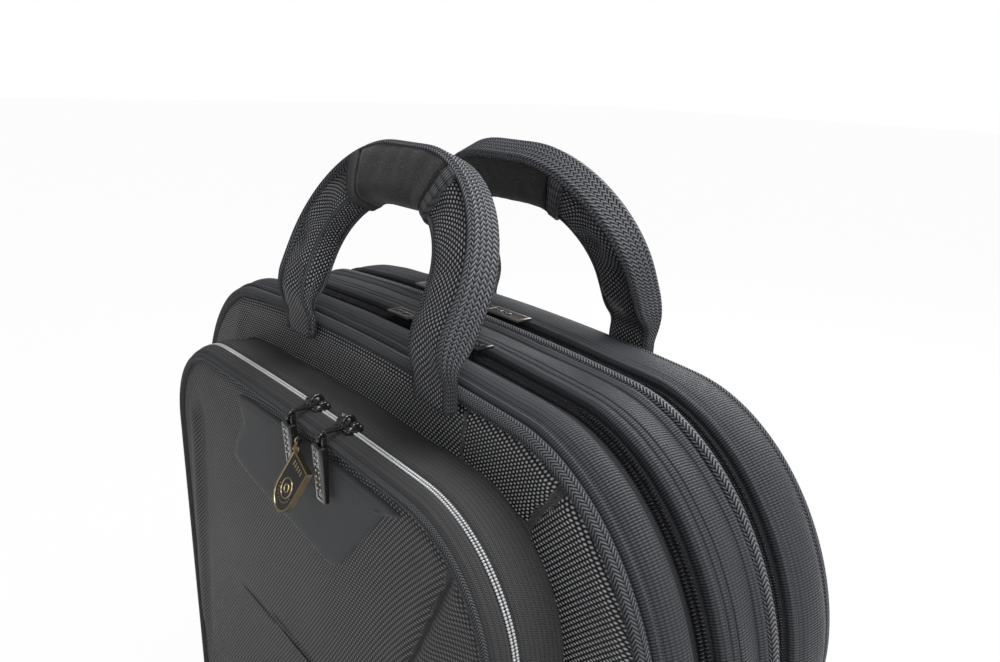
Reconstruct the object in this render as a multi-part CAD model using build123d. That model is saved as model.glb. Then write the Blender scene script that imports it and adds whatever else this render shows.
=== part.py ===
from build123d import *
import os

os.makedirs("parts", exist_ok=True)

# Flight bag, in millimetres. Origin: centre of the base, on the floor under the feet.
# +Z up, -Y the front with the zipped pocket, +X the right-hand side seen from the front.

# Driving dimensions: body
body_width = 430.0          # widest, just under the top corners
base_width = 392.0          # at the floor
body_depth = 112.0          # front piping to rear piping
body_top = 335.0            # height of the shoulders' straight edge
crown_rise = 13.0           # how far the middle of the top stands above it
corner_radius = 88.0        # top corners
bottom_radius = 16.0        # bottom corners of the panels
foot_height = 4.0
tray_top = 30.0             # top of the fixed base, where both openings hinge
wall = 3.0                  # base and pocket walls
band_wall = 5.0             # padded bands round the body
band_rise = 4.0             # how far the bands stand above the piping's line
panel_over_piping = 0.5     # how far a panel stands out beyond its piping
panel_inner = 2.2           # how far it reaches behind the piping's line
panel_inset = 1.0           # panel edge inside the piping's line
piping_radius = 3.0
bead_radius = 2.4           # braided bead on the middle band
bead_sunk = 0.6             # how deep the bead is sewn into the band
run_gap = 0.4               # between pieces on different bodies

# Driving dimensions: main zips, measured back from the front piping
front_zip_line = 29.0
middle_piping_line = 68.0
rear_zip_line = 76.0
front_coil_width = 3.6      # one half of the chain
rear_coil_width = 2.6
coil_height = 3.2
coil_proud = 0.6            # how far the chain stands above the fabric

# Driving dimensions: front pocket
pocket_width = 342.0
pocket_base_width = 318.0   # at the pocket's foot
pocket_top = 314.0          # straight edge of the pocket's zip
pocket_rise = 5.0
pocket_corner = 58.0
pocket_foot = 44.0          # underside of the pocket
pocket_hinge_height = 82.0  # where the zip ends and the flap bends
pocket_depth = 38.0         # out to the piping of its front face
pocket_zip_line = 29.0      # main front piping to the silver zip
pocket_coil_width = 2.8
pocket_front_inset = 5.5    # the front face is this much smaller all round than the gusset
pocket_piping_radius = 2.6
pocket_panel_thickness = 4.0
patch_thickness = 1.2
patch_corner = 7.0
patch_outline = ((-61.0, -8.0), (-75.0, -49.0), (37.0, -62.0),      # across, and up from the
                 (59.0, -60.0), (86.0, -31.0), (95.0, -8.0))        # pocket's straight top edge

# Driving dimensions: base, divider and inside
board_thickness = 3.0
foot_radius = 11.0
foot_inset_x = 34.0
foot_inset_y = 24.0
rivet_radius = 2.5
rivet_head_radius = 6.0
rivet_head_height = 1.6
divider_thickness = 6.0
divider_line = 62.0         # front face of the divider, back from the front piping
sleeve_width = 372.0
sleeve_height = 236.0
sleeve_gap = 11.8           # from the sleeve to the rear panel
sleeve_wall = 3.0
strap_width = 38.0
strap_thickness = 2.4
strap_end = 40.0            # how far the strap's ends reach below the sleeve's mouth
strap_clearance = 6.0       # above the sleeve's mouth
organizer_width = 340.0
organizer_height = 150.0
organizer_depth = 14.0

# Driving dimensions: handles
handle_centre = 16.0        # both handles sit this far to the right of the bag's middle
handle_half_width = 78.0    # outside, in the handle's own plane
handle_rise = 101.0         # outside, above the hinge line
handle_bar = 26.0           # width of the bar across its face
handle_thickness = 18.0     # front to back
handle_corner = 64.0
handle_lean = 24.0          # degrees towards the middle of the bag at rest
handle_foot_length = 12.0   # stitched end below the hinge line
handle_leg_gap = 10.5       # free webbing between the hinge line and the padded leg
spine_thickness = 2.0
grip_length = 70.0
grip_thickness = 1.6
grip_low = 40.0             # the grip's zone reaches from here up, clear above the legs' feet
trim_length = 8.0
trim_thickness = 2.4
foot_thickness = 5.0
handle_off_piping = 1.0     # handle's inner face beyond the panel piping
handle_hinge_height = body_top + crown_rise + 3.0

# Driving dimensions: sliders and pulls
slider_length = 14.0
slider_width = 10.5
slider_plate = 1.6
slider_corner = 2.5
slider_clearance = 1.2      # above the chain
bail_inset = 0.5            # bail's ends inside the plate's
bail_post = 1.5             # thickness of the bail's posts and bar
bail_width = 3.2
pin_radius = 0.7
pin_clearance = 0.3
pin_running = 0.08          # radial, pins in their eyes
pull_arm = 1.3              # thickness of the fork beside the bail
pull_width = 12.0
front_pull_length = 30.0
rear_pull_length = 39.0
pull_thickness = 1.6
pull_corner = 3.0
pull_end_gap = 0.6          # between the tab and the bail
pocket_pull_length = 32.0
pocket_short_pull_length = 26.5
pocket_pull_width = 9.0
pocket_pull_top = 4.8       # thickness at the top
pocket_pull_tip = 2.6       # thickness at the tip
pocket_pull_back = 1.4      # its back face behind the pin
pocket_pull_corner = 2.0
fork_half = 1.2             # half the depth of the pull's fork
fork_overlap = 1.5          # fork's reach into the wedge
medallion_width = 16.0
medallion_length = 27.0
medallion_thickness = 3.0
medallion_pin_radius = 0.6
medallion_lug_radius = 1.7
medallion_lug_width = 3.0
medallion_neck = 1.1        # between the lug and the charm's straight top
medallion_pin_bite = 2.5    # pin's length held in the pull
medallion_pin_drop = 10.3   # below the ring that the pull hangs from
medallion_head_radius = 1.2
medallion_head_length = 0.8
medallion_offset = 11.0     # how far the charm's middle lies to the right of its lug
medallion_tilt = 18.0       # degrees, its tip towards the pull
medallion_lean = 22.0       # degrees, its tip away from the pocket
ring_reach = 3.2            # pocket slider's ring beyond the flap's piping
ring_radius = 2.6
ring_drop = 2.5             # ring's middle below the slider plate's
pocket_slider_clearance = 0.6   # above the silver chain
front_slider_places = (20.0, 42.0)
rear_slider_places = (-15.0, 6.0)
pocket_slider_places = (13.0, 45.0)

# Worked out from those
front_line = -body_depth / 2
rear_line = body_depth / 2
front_zip_y = front_line + front_zip_line
rear_zip_y = front_line + rear_zip_line
middle_piping_y = front_line + middle_piping_line
pocket_front_y = front_line - pocket_depth
pocket_zip_y = front_line - pocket_zip_line
panel_proud = piping_radius + panel_over_piping
panel_front_y = front_line - panel_proud
panel_rear_y = rear_line + panel_proud
coil_top = band_rise + coil_proud


def half_width(z, inset=0.0):
    """Half the body's width at height z: it widens steadily up to the shoulders."""
    lean = (body_width - base_width) / 2 / (body_top - corner_radius)
    return base_width / 2 + lean * z - inset


def pocket_half_width(z, inset=0.0):
    lean = (pocket_width - pocket_base_width) / 2 / (pocket_top - pocket_corner - pocket_foot)
    return pocket_base_width / 2 + lean * (z - pocket_foot) - inset


def arch(half_at, top, rise, corner, bottom, inset=0.0, foot=0.0):
    """Face of an arched outline: sloping sides, two top corners, a crowned top.
    half_at gives the half width at a height, foot rounds the bottom corners."""
    high = top - inset
    half_high, half_low = half_at(top, inset), half_at(bottom, inset)
    over = ThreePointArc((-half_high, high), (0, high + rise), (half_high, high))
    sides = Polyline((half_high, high), (half_low, bottom), (-half_low, bottom), (-half_high, high))
    face = make_face(over.edges() + sides.edges())
    ordered = face.vertices().sort_by(Axis.Y)
    face = fillet(ordered[2:], corner - inset)
    if foot > 0:
        face = fillet(face.vertices().sort_by(Axis.Y)[:2], foot)
    return face


def upright(face, y_low, y_high):
    """Solid between two front-to-back places from a face drawn in X and Z."""
    return extrude(Plane.XZ.offset(-y_high) * face, amount=y_high - y_low)


def body_arch(inset, bottom, foot=0.0):
    return arch(half_width, body_top, crown_rise, corner_radius, bottom, inset, foot)


def pocket_arch(inset, bottom, foot=0.0):
    return arch(pocket_half_width, pocket_top, pocket_rise, pocket_corner, bottom, inset, foot)


def panel_outline():
    return body_arch(panel_inset, tray_top + run_gap + piping_radius + panel_inset, bottom_radius - panel_inset)


def panel_piping(y):
    line = body_arch(0, tray_top + run_gap + piping_radius, bottom_radius)
    return closed_piping(line, y, piping_radius)


def body_hoop(y_low, y_high, rise, thickness):
    """Band over the top and down both sides, open at the bottom, its outside rise above the piping line."""
    bottom = tray_top + run_gap
    outer = upright(body_arch(-rise, bottom), y_low, y_high)
    return outer - upright(body_arch(thickness - rise, bottom - 1), y_low - 1, y_high + 1)


def pocket_hoop(y_low, y_high, inset, thickness, bottom):
    outer = upright(pocket_arch(inset, bottom), y_low, y_high)
    return outer - upright(pocket_arch(inset + thickness, bottom - 1), y_low - 1, y_high + 1)


def closed_piping(face, y, radius):
    """Round piping along the whole outline of a face."""
    path = (Plane.XZ.offset(-y) * face).wires()[0]
    return sweep(Plane(origin=path @ 0, z_dir=path % 0) * Circle(radius), path=path)


def open_piping(face, y, radius):
    """Piping along an outline without its flat bottom run."""
    placed = Plane.XZ.offset(-y) * face
    path = Wire(placed.edges().sort_by(Axis.Z)[1:])
    return sweep(Plane(origin=path @ 0, z_dir=path % 0) * Circle(radius), path=path)


def block(x, y, z):
    """Box from three pairs of low and high limits."""
    size = [high - low for low, high in (x, y, z)]
    middle = [(high + low) / 2 for low, high in (x, y, z)]
    return Pos(*middle) * Box(*size)


def save(name, shape):
    """Write one node: its separate solids, labelled."""
    solids = shape.solids()
    node = solids[0] if len(solids) == 1 else Compound(children=list(solids))
    node.label = name
    export_step(node, f"parts/{name}.step")
    print(name, len(solids), round(sum(s.volume for s in solids) / 1000, 1), "cm3")


# Base: fixed tray, stiffening board, feet and the rivets that hold them

def base_parts():
    half_low, half_high = half_width(foot_height), half_width(tray_top)
    side = make_face(Polyline((-half_low, foot_height), (half_low, foot_height),
                              (half_high, tray_top), (-half_high, tray_top), close=True).edges())
    tray = upright(side, front_line, rear_line)
    tray = fillet(tray.edges().filter_by(Axis.Y).sort_by(Axis.Z)[:2], bottom_radius)
    hollow = block((-half_low + wall, half_low - wall), (front_line + wall, rear_line - wall),
                   (foot_height + wall, tray_top + 1))
    tray -= fillet(hollow.edges().filter_by(Axis.Y).sort_by(Axis.Z)[:2], bottom_radius - wall)

    board_low = foot_height + wall
    half_board = half_low - wall - bottom_radius
    board = block((-half_board, half_board), (front_line + wall + 1, rear_line - wall - 1),
                  (board_low, board_low + board_thickness))

    places = [(sx * (half_low - foot_inset_x), sy * (body_depth / 2 - foot_inset_y))
              for sx in (-1, 1) for sy in (-1, 1)] + [(0, 0)]
    feet, rivets, holes = [], [], []
    rivet_top = board_low + board_thickness
    for x, y in places:
        foot = Pos(x, y, foot_height / 2) * Cylinder(foot_radius, foot_height)
        foot = chamfer(foot.edges().sort_by(Axis.Z)[0], foot_height / 3)
        shank_low = foot_height / 2
        shank = Pos(x, y, (shank_low + rivet_top) / 2) * Cylinder(rivet_radius, rivet_top - shank_low)
        head = Pos(x, y, rivet_top + rivet_head_height / 2) * Cylinder(rivet_head_radius, rivet_head_height)
        holes.append(shank)
        feet.append(foot - shank)
        rivets.append(shank + head)
    for hole in holes:
        tray -= hole
        board -= hole
    save("base_tray", tray)
    save("base_board", board)
    save("base_feet", Compound(children=[f.solids()[0] for f in feet]))
    save("base_rivets", Compound(children=[r.solids()[0] for r in rivets]))


# Middle: the fixed hoop between the two zips, its piping, the divider and what it carries

def middle_parts():
    band_low = front_zip_y + run_gap / 2 + front_coil_width
    band_high = rear_zip_y - run_gap / 2 - rear_coil_width
    band = body_hoop(band_low, band_high, band_rise, band_wall)
    bead_line = body_arch(-band_rise - bead_radius + bead_sunk, tray_top + run_gap)
    piping = open_piping(bead_line, middle_piping_y, bead_radius)
    save("middle_band", band - piping)
    save("middle_piping", piping)
    save("front_zip_rear_coil", body_hoop(front_zip_y + run_gap / 2, band_low, coil_top, coil_height))
    save("rear_zip_front_coil", body_hoop(band_high, rear_zip_y - run_gap / 2, coil_top, coil_height))

    divider_y = front_line + divider_line
    divider = upright(body_arch(band_wall - band_rise, tray_top + run_gap), divider_y, divider_y + divider_thickness)
    save("divider_panel", divider)

    low = tray_top + run_gap
    sleeve_y = divider_y + divider_thickness
    depth = rear_line - panel_inner - sleeve_gap - sleeve_y
    outer = block((-sleeve_width / 2, sleeve_width / 2), (sleeve_y, sleeve_y + depth), (low, low + sleeve_height))
    inner = block((-sleeve_width / 2 + sleeve_wall, sleeve_width / 2 - sleeve_wall),
                  (sleeve_y - 1, sleeve_y + depth - sleeve_wall), (low + sleeve_wall, low + sleeve_height + 1))
    save("laptop_sleeve", outer - inner)

    strap_low = low + sleeve_height - strap_end
    strap_bend = low + sleeve_height + strap_clearance
    front = block((-strap_width / 2, strap_width / 2), (sleeve_y, sleeve_y + strap_thickness),
                  (strap_low, strap_bend))
    over = block((-strap_width / 2, strap_width / 2), (sleeve_y, sleeve_y + depth + strap_thickness),
                 (strap_bend, strap_bend + strap_thickness))
    down = block((-strap_width / 2, strap_width / 2), (sleeve_y + depth, sleeve_y + depth + strap_thickness),
                 (strap_low, strap_bend))
    save("sleeve_strap", front + over + down)

    pocket_out = block((-organizer_width / 2, organizer_width / 2), (divider_y - organizer_depth, divider_y),
                       (low, low + organizer_height))
    pocket_in = block((-organizer_width / 2 + wall, organizer_width / 2 - wall),
                      (divider_y - organizer_depth + wall, divider_y + 1),
                      (low + wall, low + organizer_height + 1))
    save("organizer_pocket", pocket_out - pocket_in)


# Front section: swings forward about its bottom edge

def front_section_parts():
    piping = panel_piping(front_line)
    panel = upright(panel_outline(), panel_front_y, front_line + panel_inner)
    save("front_panel", panel - piping)
    save("front_piping", piping)
    band_high = front_zip_y - run_gap / 2 - front_coil_width
    save("front_band", body_hoop(front_line + panel_inner, band_high, band_rise, band_wall) - piping)
    save("front_zip_front_coil", body_hoop(band_high, front_zip_y - run_gap / 2, coil_top, coil_height))


def rear_section_parts():
    piping = panel_piping(rear_line)
    panel = upright(panel_outline(), rear_line - panel_inner, panel_rear_y)
    save("rear_panel", panel - piping)
    save("rear_piping", piping)
    band_low = rear_zip_y + run_gap / 2 + rear_coil_width
    save("rear_band", body_hoop(band_low, rear_line - panel_inner, band_rise, band_wall) - piping)
    save("rear_zip_rear_coil", body_hoop(rear_zip_y + run_gap / 2, band_low, coil_top, coil_height))


# Front pocket: gusset and lower tray on the front section, flap that folds forward

def pocket_parts():
    gusset_end = pocket_zip_y + run_gap / 2 + pocket_coil_width
    outer = upright(pocket_arch(0, pocket_foot, bottom_radius), gusset_end, panel_front_y)
    inner = upright(pocket_arch(wall, pocket_foot + wall, bottom_radius - wall), gusset_end - 1, panel_front_y + 1)
    save("pocket_gusset", outer - inner)

    seam = pocket_hinge_height
    tray_front = pocket_front_y - pocket_panel_thickness / 2
    tray_shape = pocket_arch(0, pocket_foot, bottom_radius)
    tray = upright(tray_shape, tray_front, gusset_end)
    tray -= upright(pocket_arch(wall, pocket_foot + wall, bottom_radius - wall),
                    tray_front + pocket_panel_thickness, gusset_end + 1)
    above = block((-body_width, body_width), (pocket_front_y - 30, front_line), (seam, body_top + 50))
    save("pocket_tray", tray - above)
    save("pocket_zip_rear_coil", pocket_hoop(pocket_zip_y + run_gap / 2, gusset_end, -coil_proud,
                                             coil_height, seam + run_gap))

    coil_end = pocket_zip_y - run_gap / 2 - pocket_coil_width
    flap_low = seam + run_gap
    flap_back = pocket_front_y + pocket_panel_thickness / 2
    piping = open_piping(pocket_arch(pocket_front_inset, flap_low), pocket_front_y, pocket_piping_radius)
    panel = upright(pocket_arch(pocket_front_inset + panel_inset, flap_low), tray_front, flap_back)
    save("pocket_flap_panel", panel - piping)
    save("pocket_flap_piping", piping)
    save("pocket_flap_band", pocket_hoop(flap_back, coil_end, 0, wall + pocket_front_inset, flap_low) - piping)
    save("pocket_zip_front_coil", pocket_hoop(coil_end, pocket_zip_y - run_gap / 2, -coil_proud,
                                              coil_height, flap_low))

    # Smooth patch on the top of the flap: uneven, with a round lower tip
    outline = [(x, pocket_top + up) for x, up in patch_outline]
    patch = make_face(Polyline(*outline, close=True).edges())
    lower = patch.vertices().sort_by(Axis.Y)[:4]
    patch = fillet(lower, patch_corner)
    save("pocket_patch", upright(patch, tray_front - patch_thickness, tray_front))


# Handles: padded arches that fold outwards about their feet

def handle_arch(low, outside, inside):
    """Arch in a handle's own plane from height low up: the bar widened by outside and inside."""
    def outline(half, rise, corner, bottom):
        face = make_face(Polyline((-half, bottom), (half, bottom), (half, rise), (-half, rise), close=True).edges())
        return fillet(face.vertices().sort_by(Axis.Y)[2:], corner)
    outer = outline(handle_half_width + outside, handle_rise + outside, handle_corner + outside, low)
    bar = handle_bar + inside
    inner = outline(handle_half_width - bar, handle_rise - bar, handle_corner - bar, low - 1)
    return outer - inner


def handle_parts(side):
    """side is -1 for the front handle and +1 for the rear one."""
    name = "front" if side < 0 else "rear"
    inner_face_y = side * (body_depth / 2 + piping_radius + handle_off_piping)
    axis_y = inner_face_y + side * handle_thickness / 2
    lean = Pos(handle_centre, axis_y, handle_hinge_height) * Rot(X=side * handle_lean)

    def slab(face, thickness):
        return lean * extrude(Plane.XZ.offset(-thickness / 2) * face, amount=thickness)

    core = slab(handle_arch(handle_leg_gap, 0, 0), handle_thickness)
    spine = slab(handle_arch(handle_leg_gap, spine_thickness, 0) - handle_arch(handle_leg_gap, 0, 0),
                 handle_thickness - 1)

    def sleeve(x_low, x_high, thickness):
        """Sleeve round the face, the underside and the back of the top bar; the spine stays bare above it."""
        high = handle_rise + thickness
        zone = Pos((x_low + x_high) / 2, (grip_low + high) / 2) * Rectangle(x_high - x_low, high - grip_low)
        return slab(handle_arch(handle_leg_gap, 0, thickness) & zone, handle_thickness + 2 * thickness) - core

    half_grip = grip_length / 2
    trims = [sleeve(half_grip, half_grip + trim_length, trim_thickness),
             sleeve(-half_grip - trim_length, -half_grip, trim_thickness)]
    save(f"{name}_handle_core", core)
    save(f"{name}_handle_spine", spine)
    save(f"{name}_handle_grip", sleeve(-half_grip, half_grip, grip_thickness))
    save(f"{name}_handle_trims", Compound(children=[trim.solids()[0] for trim in trims]))

    # Stitched ends of the legs, flat on the panel below the hinge line
    leg = handle_half_width - handle_bar / 2
    panel_face = side * (body_depth / 2 + panel_proud)
    outer_face = inner_face_y + side * foot_thickness
    foot_high = handle_hinge_height - run_gap
    ends = []
    for x in (handle_centre - leg, handle_centre + leg):
        end = block((x - handle_bar / 2, x + handle_bar / 2), sorted((panel_face, outer_face)),
                    (foot_high - handle_foot_length, foot_high))
        ends.append(fillet(end.edges().filter_by(Axis.Y).sort_by(Axis.Z)[:2], handle_foot_length / 2.5))
    save(f"{name}_handle_feet", Compound(children=[end.solids()[0] for end in ends]))


# Sliders and pulls

def slider(x, y, z):
    """Slider plate with its bail: two posts and a bar along the zip."""
    low = z + slider_clearance
    plate = block((x - slider_length / 2, x + slider_length / 2), (y - slider_width / 2, y + slider_width / 2),
                  (low, low + slider_plate))
    plate = fillet(plate.edges().filter_by(Axis.Z), slider_corner)
    eye = 2 * (pin_radius + pin_clearance)
    top = low + slider_plate + eye
    half = slider_length / 2 - bail_inset
    solid = plate
    for end in (-1, 1):
        inner_x = end * (half - bail_post)
        solid += block(sorted((x + inner_x, x + end * half)), (y - bail_width / 2, y + bail_width / 2),
                       (low + slider_plate, top))
    solid += block((x - half, x + half), (y - bail_width / 2, y + bail_width / 2), (top, top + bail_post))
    return solid, low + slider_plate + pin_radius + pin_clearance


def lying_pull(x, y, z, way, length, width):
    """Flat tab lying along the zip, its fork's pin under the bail. way is -1 or +1 along X."""
    pin_half = bail_width / 2 + pin_clearance + pull_arm
    pin = Pos(x, y, z) * Rot(X=90) * Cylinder(pin_radius, 2 * pin_half)
    root = slider_length / 2 + bail_post + pull_end_gap
    solid = pin
    for side in (-1, 1):
        inner = y + side * (bail_width / 2 + pin_clearance)
        outer = y + side * pin_half
        solid += block(sorted((x, x + way * (root + 1))), sorted((inner, outer)), (z - pin_radius, z + pin_radius))
    tab = block(sorted((x + way * root, x + way * length)), (y - width / 2, y + width / 2),
                (z - pin_radius, z - pin_radius + pull_thickness))
    tab = fillet(tab.edges().filter_by(Axis.Z), pull_corner)
    return solid + tab


def main_sliders():
    for zone, places, y, length in (("front_zip", front_slider_places, front_zip_y, front_pull_length),
                                    ("rear_zip", rear_slider_places, rear_zip_y, rear_pull_length)):
        z = body_top + crown_rise + coil_top
        for place, side, way in zip(places, ("left", "right"), (-1, 1)):
            body, pin_z = slider(place, y, z)
            save(f"{zone}_{side}_slider", body)
            save(f"{zone}_{side}_pull", lying_pull(place, y, pin_z, way, length, pull_width))


def pocket_slider(x):
    """Pocket slider: plate on the silver chain and a ring that reaches forward past the piping."""
    z = pocket_top + pocket_rise + coil_proud + pocket_slider_clearance
    plate = block((x - slider_length / 2, x + slider_length / 2),
                  (pocket_zip_y - slider_width / 2, pocket_zip_y + slider_width / 2), (z, z + slider_plate))
    plate = fillet(plate.edges().filter_by(Axis.Z), slider_corner)
    ring_y = pocket_front_y - pocket_piping_radius - ring_reach
    neck = block((x - bail_width / 2, x + bail_width / 2), (ring_y, pocket_zip_y), (z, z + slider_plate))
    ring_z = z + slider_plate / 2 - ring_drop
    eye = Pos(x, ring_y, ring_z) * Rot(Y=90) * Cylinder(ring_radius, bail_width)
    hole = Pos(x, ring_y, ring_z) * Rot(Y=90) * Cylinder(pin_radius + pin_running, 2 * bail_width)
    return plate + neck + eye - hole, ring_y, ring_z


def hanging_pull(x, y, z, length):
    """Wedge-shaped moulded pull hung on a pin through the slider's ring."""
    pin_half = bail_width / 2 + pin_clearance + pull_arm
    solid = Pos(x, y, z) * Rot(Y=90) * Cylinder(pin_radius, 2 * pin_half)
    below = z - ring_radius - 2 * pin_clearance
    for side in (-1, 1):
        inner = x + side * (bail_width / 2 + pin_clearance)
        outer = x + side * pin_half
        solid += block(sorted((inner, outer)), (y - fork_half, y + fork_half), (below - fork_overlap, z + fork_half))
    back = y + pocket_pull_back
    wedge = make_face(Polyline((back - pocket_pull_top, below), (back, below), (back, z - length),
                               (back - pocket_pull_tip, z - length), close=True).edges())
    wedge = extrude(Plane.YZ.offset(x - pocket_pull_width / 2) * wedge, amount=pocket_pull_width)
    wedge = fillet(wedge.edges().filter_by(Axis.Y).sort_by(Axis.Z)[:2], pocket_pull_corner)
    return solid + wedge


def pocket_sliders():
    for place, side, length in zip(pocket_slider_places, ("left", "right"),
                                   (pocket_short_pull_length, pocket_pull_length)):
        body, y, z = pocket_slider(place)
        save(f"pocket_{side}_slider", body)
        pull = hanging_pull(place, y, z, length)
        if side == "left":
            pull = charm_parts(pull, place + pocket_pull_width / 2, y + pocket_pull_back - pocket_pull_tip / 2,
                               z - medallion_pin_drop)
        save(f"pocket_{side}_pull", pull)


def charm_parts(pull, side, y, z):
    """Charm hung beside the pull, on a headed pin that stands out of its side; returns the bored pull."""
    lug_low = side + pin_clearance
    head_low = lug_low + medallion_lug_width + pin_clearance

    def across(x_low, x_high, radius):
        return Pos((x_low + x_high) / 2, y, z) * Rot(Y=90) * Cylinder(radius, x_high - x_low)

    shank = across(side - medallion_pin_bite, head_low, medallion_pin_radius)
    save("medallion_pin", shank + across(head_low, head_low + medallion_head_length, medallion_head_radius))

    # The plate is drawn about the lug's middle, then tilted in its own plane and leant on the pin
    top = -medallion_lug_radius - medallion_neck
    low = top - medallion_length
    half, lug_half = medallion_width / 2, medallion_lug_width / 2
    outline = (Polyline((-half, low + half), (-half, top), (half, top), (half, low + half)).edges()
               + ThreePointArc((half, low + half), (0, low), (-half, low + half)).edges())
    plate = Pos(medallion_offset) * upright(make_face(outline), -medallion_thickness / 2, medallion_thickness / 2)
    neck_end = medallion_offset - half + lug_half
    thick = (-medallion_pin_radius, medallion_pin_radius)
    neck = block((-lug_half, lug_half), thick, (2 * top, 0)) + block((-lug_half, neck_end), thick, (2 * top, top))
    charm = Pos(lug_low + lug_half, y, z) * Rot(X=-medallion_lean) * (Rot(Y=medallion_tilt) * plate + neck)
    charm += across(lug_low, lug_low + medallion_lug_width, medallion_lug_radius)
    charm -= across(side, head_low, medallion_pin_radius + pin_running)
    save("medallion", charm)
    return pull - shank


base_parts()
middle_parts()
front_section_parts()
rear_section_parts()
pocket_parts()
handle_parts(-1)
handle_parts(1)
main_sliders()
pocket_sliders()
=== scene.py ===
import math
import bmesh
import bpy
import numpy as np
from mathutils import Matrix, Vector, noise


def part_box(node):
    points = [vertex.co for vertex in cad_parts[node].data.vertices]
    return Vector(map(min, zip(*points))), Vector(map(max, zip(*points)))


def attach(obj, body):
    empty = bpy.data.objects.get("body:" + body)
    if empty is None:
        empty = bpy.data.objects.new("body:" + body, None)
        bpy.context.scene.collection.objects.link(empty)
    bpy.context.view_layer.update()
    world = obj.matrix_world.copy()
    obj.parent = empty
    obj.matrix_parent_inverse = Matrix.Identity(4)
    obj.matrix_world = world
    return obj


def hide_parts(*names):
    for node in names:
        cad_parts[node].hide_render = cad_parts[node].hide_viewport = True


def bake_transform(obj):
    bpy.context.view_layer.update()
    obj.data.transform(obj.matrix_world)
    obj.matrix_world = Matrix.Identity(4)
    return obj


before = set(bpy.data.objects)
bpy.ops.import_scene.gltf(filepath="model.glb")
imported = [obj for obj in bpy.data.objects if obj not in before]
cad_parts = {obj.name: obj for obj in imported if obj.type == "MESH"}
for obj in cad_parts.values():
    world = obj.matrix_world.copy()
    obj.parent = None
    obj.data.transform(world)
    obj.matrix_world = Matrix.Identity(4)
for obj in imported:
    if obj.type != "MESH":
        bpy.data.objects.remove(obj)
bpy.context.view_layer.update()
mm = 0.001


# shop tools: small helpers used by every piece

def deselectAll():
    if bpy.context.object and bpy.context.object.mode != 'OBJECT':
        bpy.ops.object.mode_set(mode='OBJECT')
    bpy.ops.object.select_all(action='DESELECT')


def pick(piece):
    deselectAll()
    piece.select_set(True)
    bpy.context.view_layer.objects.active = piece


def smoothStep(low, high, x):
    t = np.clip((np.asarray(x, float) - low) / (high - low), 0, 1)
    return t * t * (3 - 2 * t)


def centreY(node):
    low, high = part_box(node)
    return (low.y + high.y) / 2


def cornerMapPiece(name, points, faces, cornerMap, material):
    # mesh code piece: its cloth map holds millimetres along and across the cloth,
    # one pair for each corner of each face
    mesh = bpy.data.meshes.new(name)
    mesh.from_pydata([tuple(p) for p in points], [], faces)
    layer = mesh.uv_layers.new(name='clothMap')
    layer.data.foreach_set('uv', np.asarray(cornerMap, float).ravel())
    mesh.polygons.foreach_set('use_smooth', [True] * len(mesh.polygons))
    work = bmesh.new()
    work.from_mesh(mesh)
    bmesh.ops.recalc_face_normals(work, faces=work.faces)
    work.to_mesh(mesh)
    work.free()
    mesh.materials.append(material)
    piece = bpy.data.objects.new(name, mesh)
    bpy.context.scene.collection.objects.link(piece)
    return piece


def clothPiece(name, points, faces, clothMap, material):
    # the same, with one cloth-map pair for each point
    corners = np.asarray(clothMap, float)[[v for face in faces for v in face]]
    return cornerMapPiece(name, points, faces, corners, material)


def ringFaces(first, second, count):
    # faces between two closed rings of count points, given by their first points' numbers
    faces = []
    for i in range(count):
        k = (i + 1) % count
        faces.append((first + i, first + k, second + k, second + i))
    return faces


def sweptCloth(name, verts, along, around, material, total=None):
    # cloth over rows of sections, verts[row, side]; with a total length the run closes on itself
    count, sides = verts.shape[:2]
    faces, cornerMap = [], []
    for i in range(count - 1 if total is None else count):
        k = (i + 1) % count
        u0, u1 = along[i], (along[k] if k else total)
        for j in range(sides):
            m = (j + 1) % sides
            faces.append((i * sides + j, k * sides + j, k * sides + m, i * sides + m))
            cornerMap += [(u0, around[j]), (u1, around[j]), (u1, around[j + 1]), (u0, around[j + 1])]
    if total is None:
        for i, order in ((0, 1), (count - 1, -1)):   # caps at both ends
            ring = [i * sides + j for j in range(sides)][::order]
            faces.append(tuple(ring))
            cornerMap += [(along[i], around[r % sides]) for r in ring]
    return cornerMapPiece(name, verts.reshape(-1, 3), faces, cornerMap, material)


def evenly(points, step):
    # the same line with its points a fixed step apart
    points = np.asarray(points, float)
    lengths = np.r_[0, np.cumsum(np.linalg.norm(np.diff(points, axis=0), axis=1))]
    count = max(3, int(round(lengths[-1] / step)) + 1)
    at = np.linspace(0, lengths[-1], count)
    return np.c_[[np.interp(at, lengths, points[:, k]) for k in range(points.shape[1])]].T


def lineOf(points, closed=False):
    # points, outward directions and length along for a line drawn in X and Z
    points = np.asarray(points, float)
    if closed:
        along = np.roll(points, -1, 0) - np.roll(points, 1, 0)
    else:
        along = np.gradient(points, axis=0)
    along /= np.linalg.norm(along, axis=1)[:, None]
    outward = np.c_[-along[:, 1], along[:, 0]]
    lengths = np.r_[0, np.cumsum(np.linalg.norm(np.diff(points, axis=0), axis=1))]
    return {'points': points, 'outward': outward, 'length': lengths, 'closed': closed}


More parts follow.
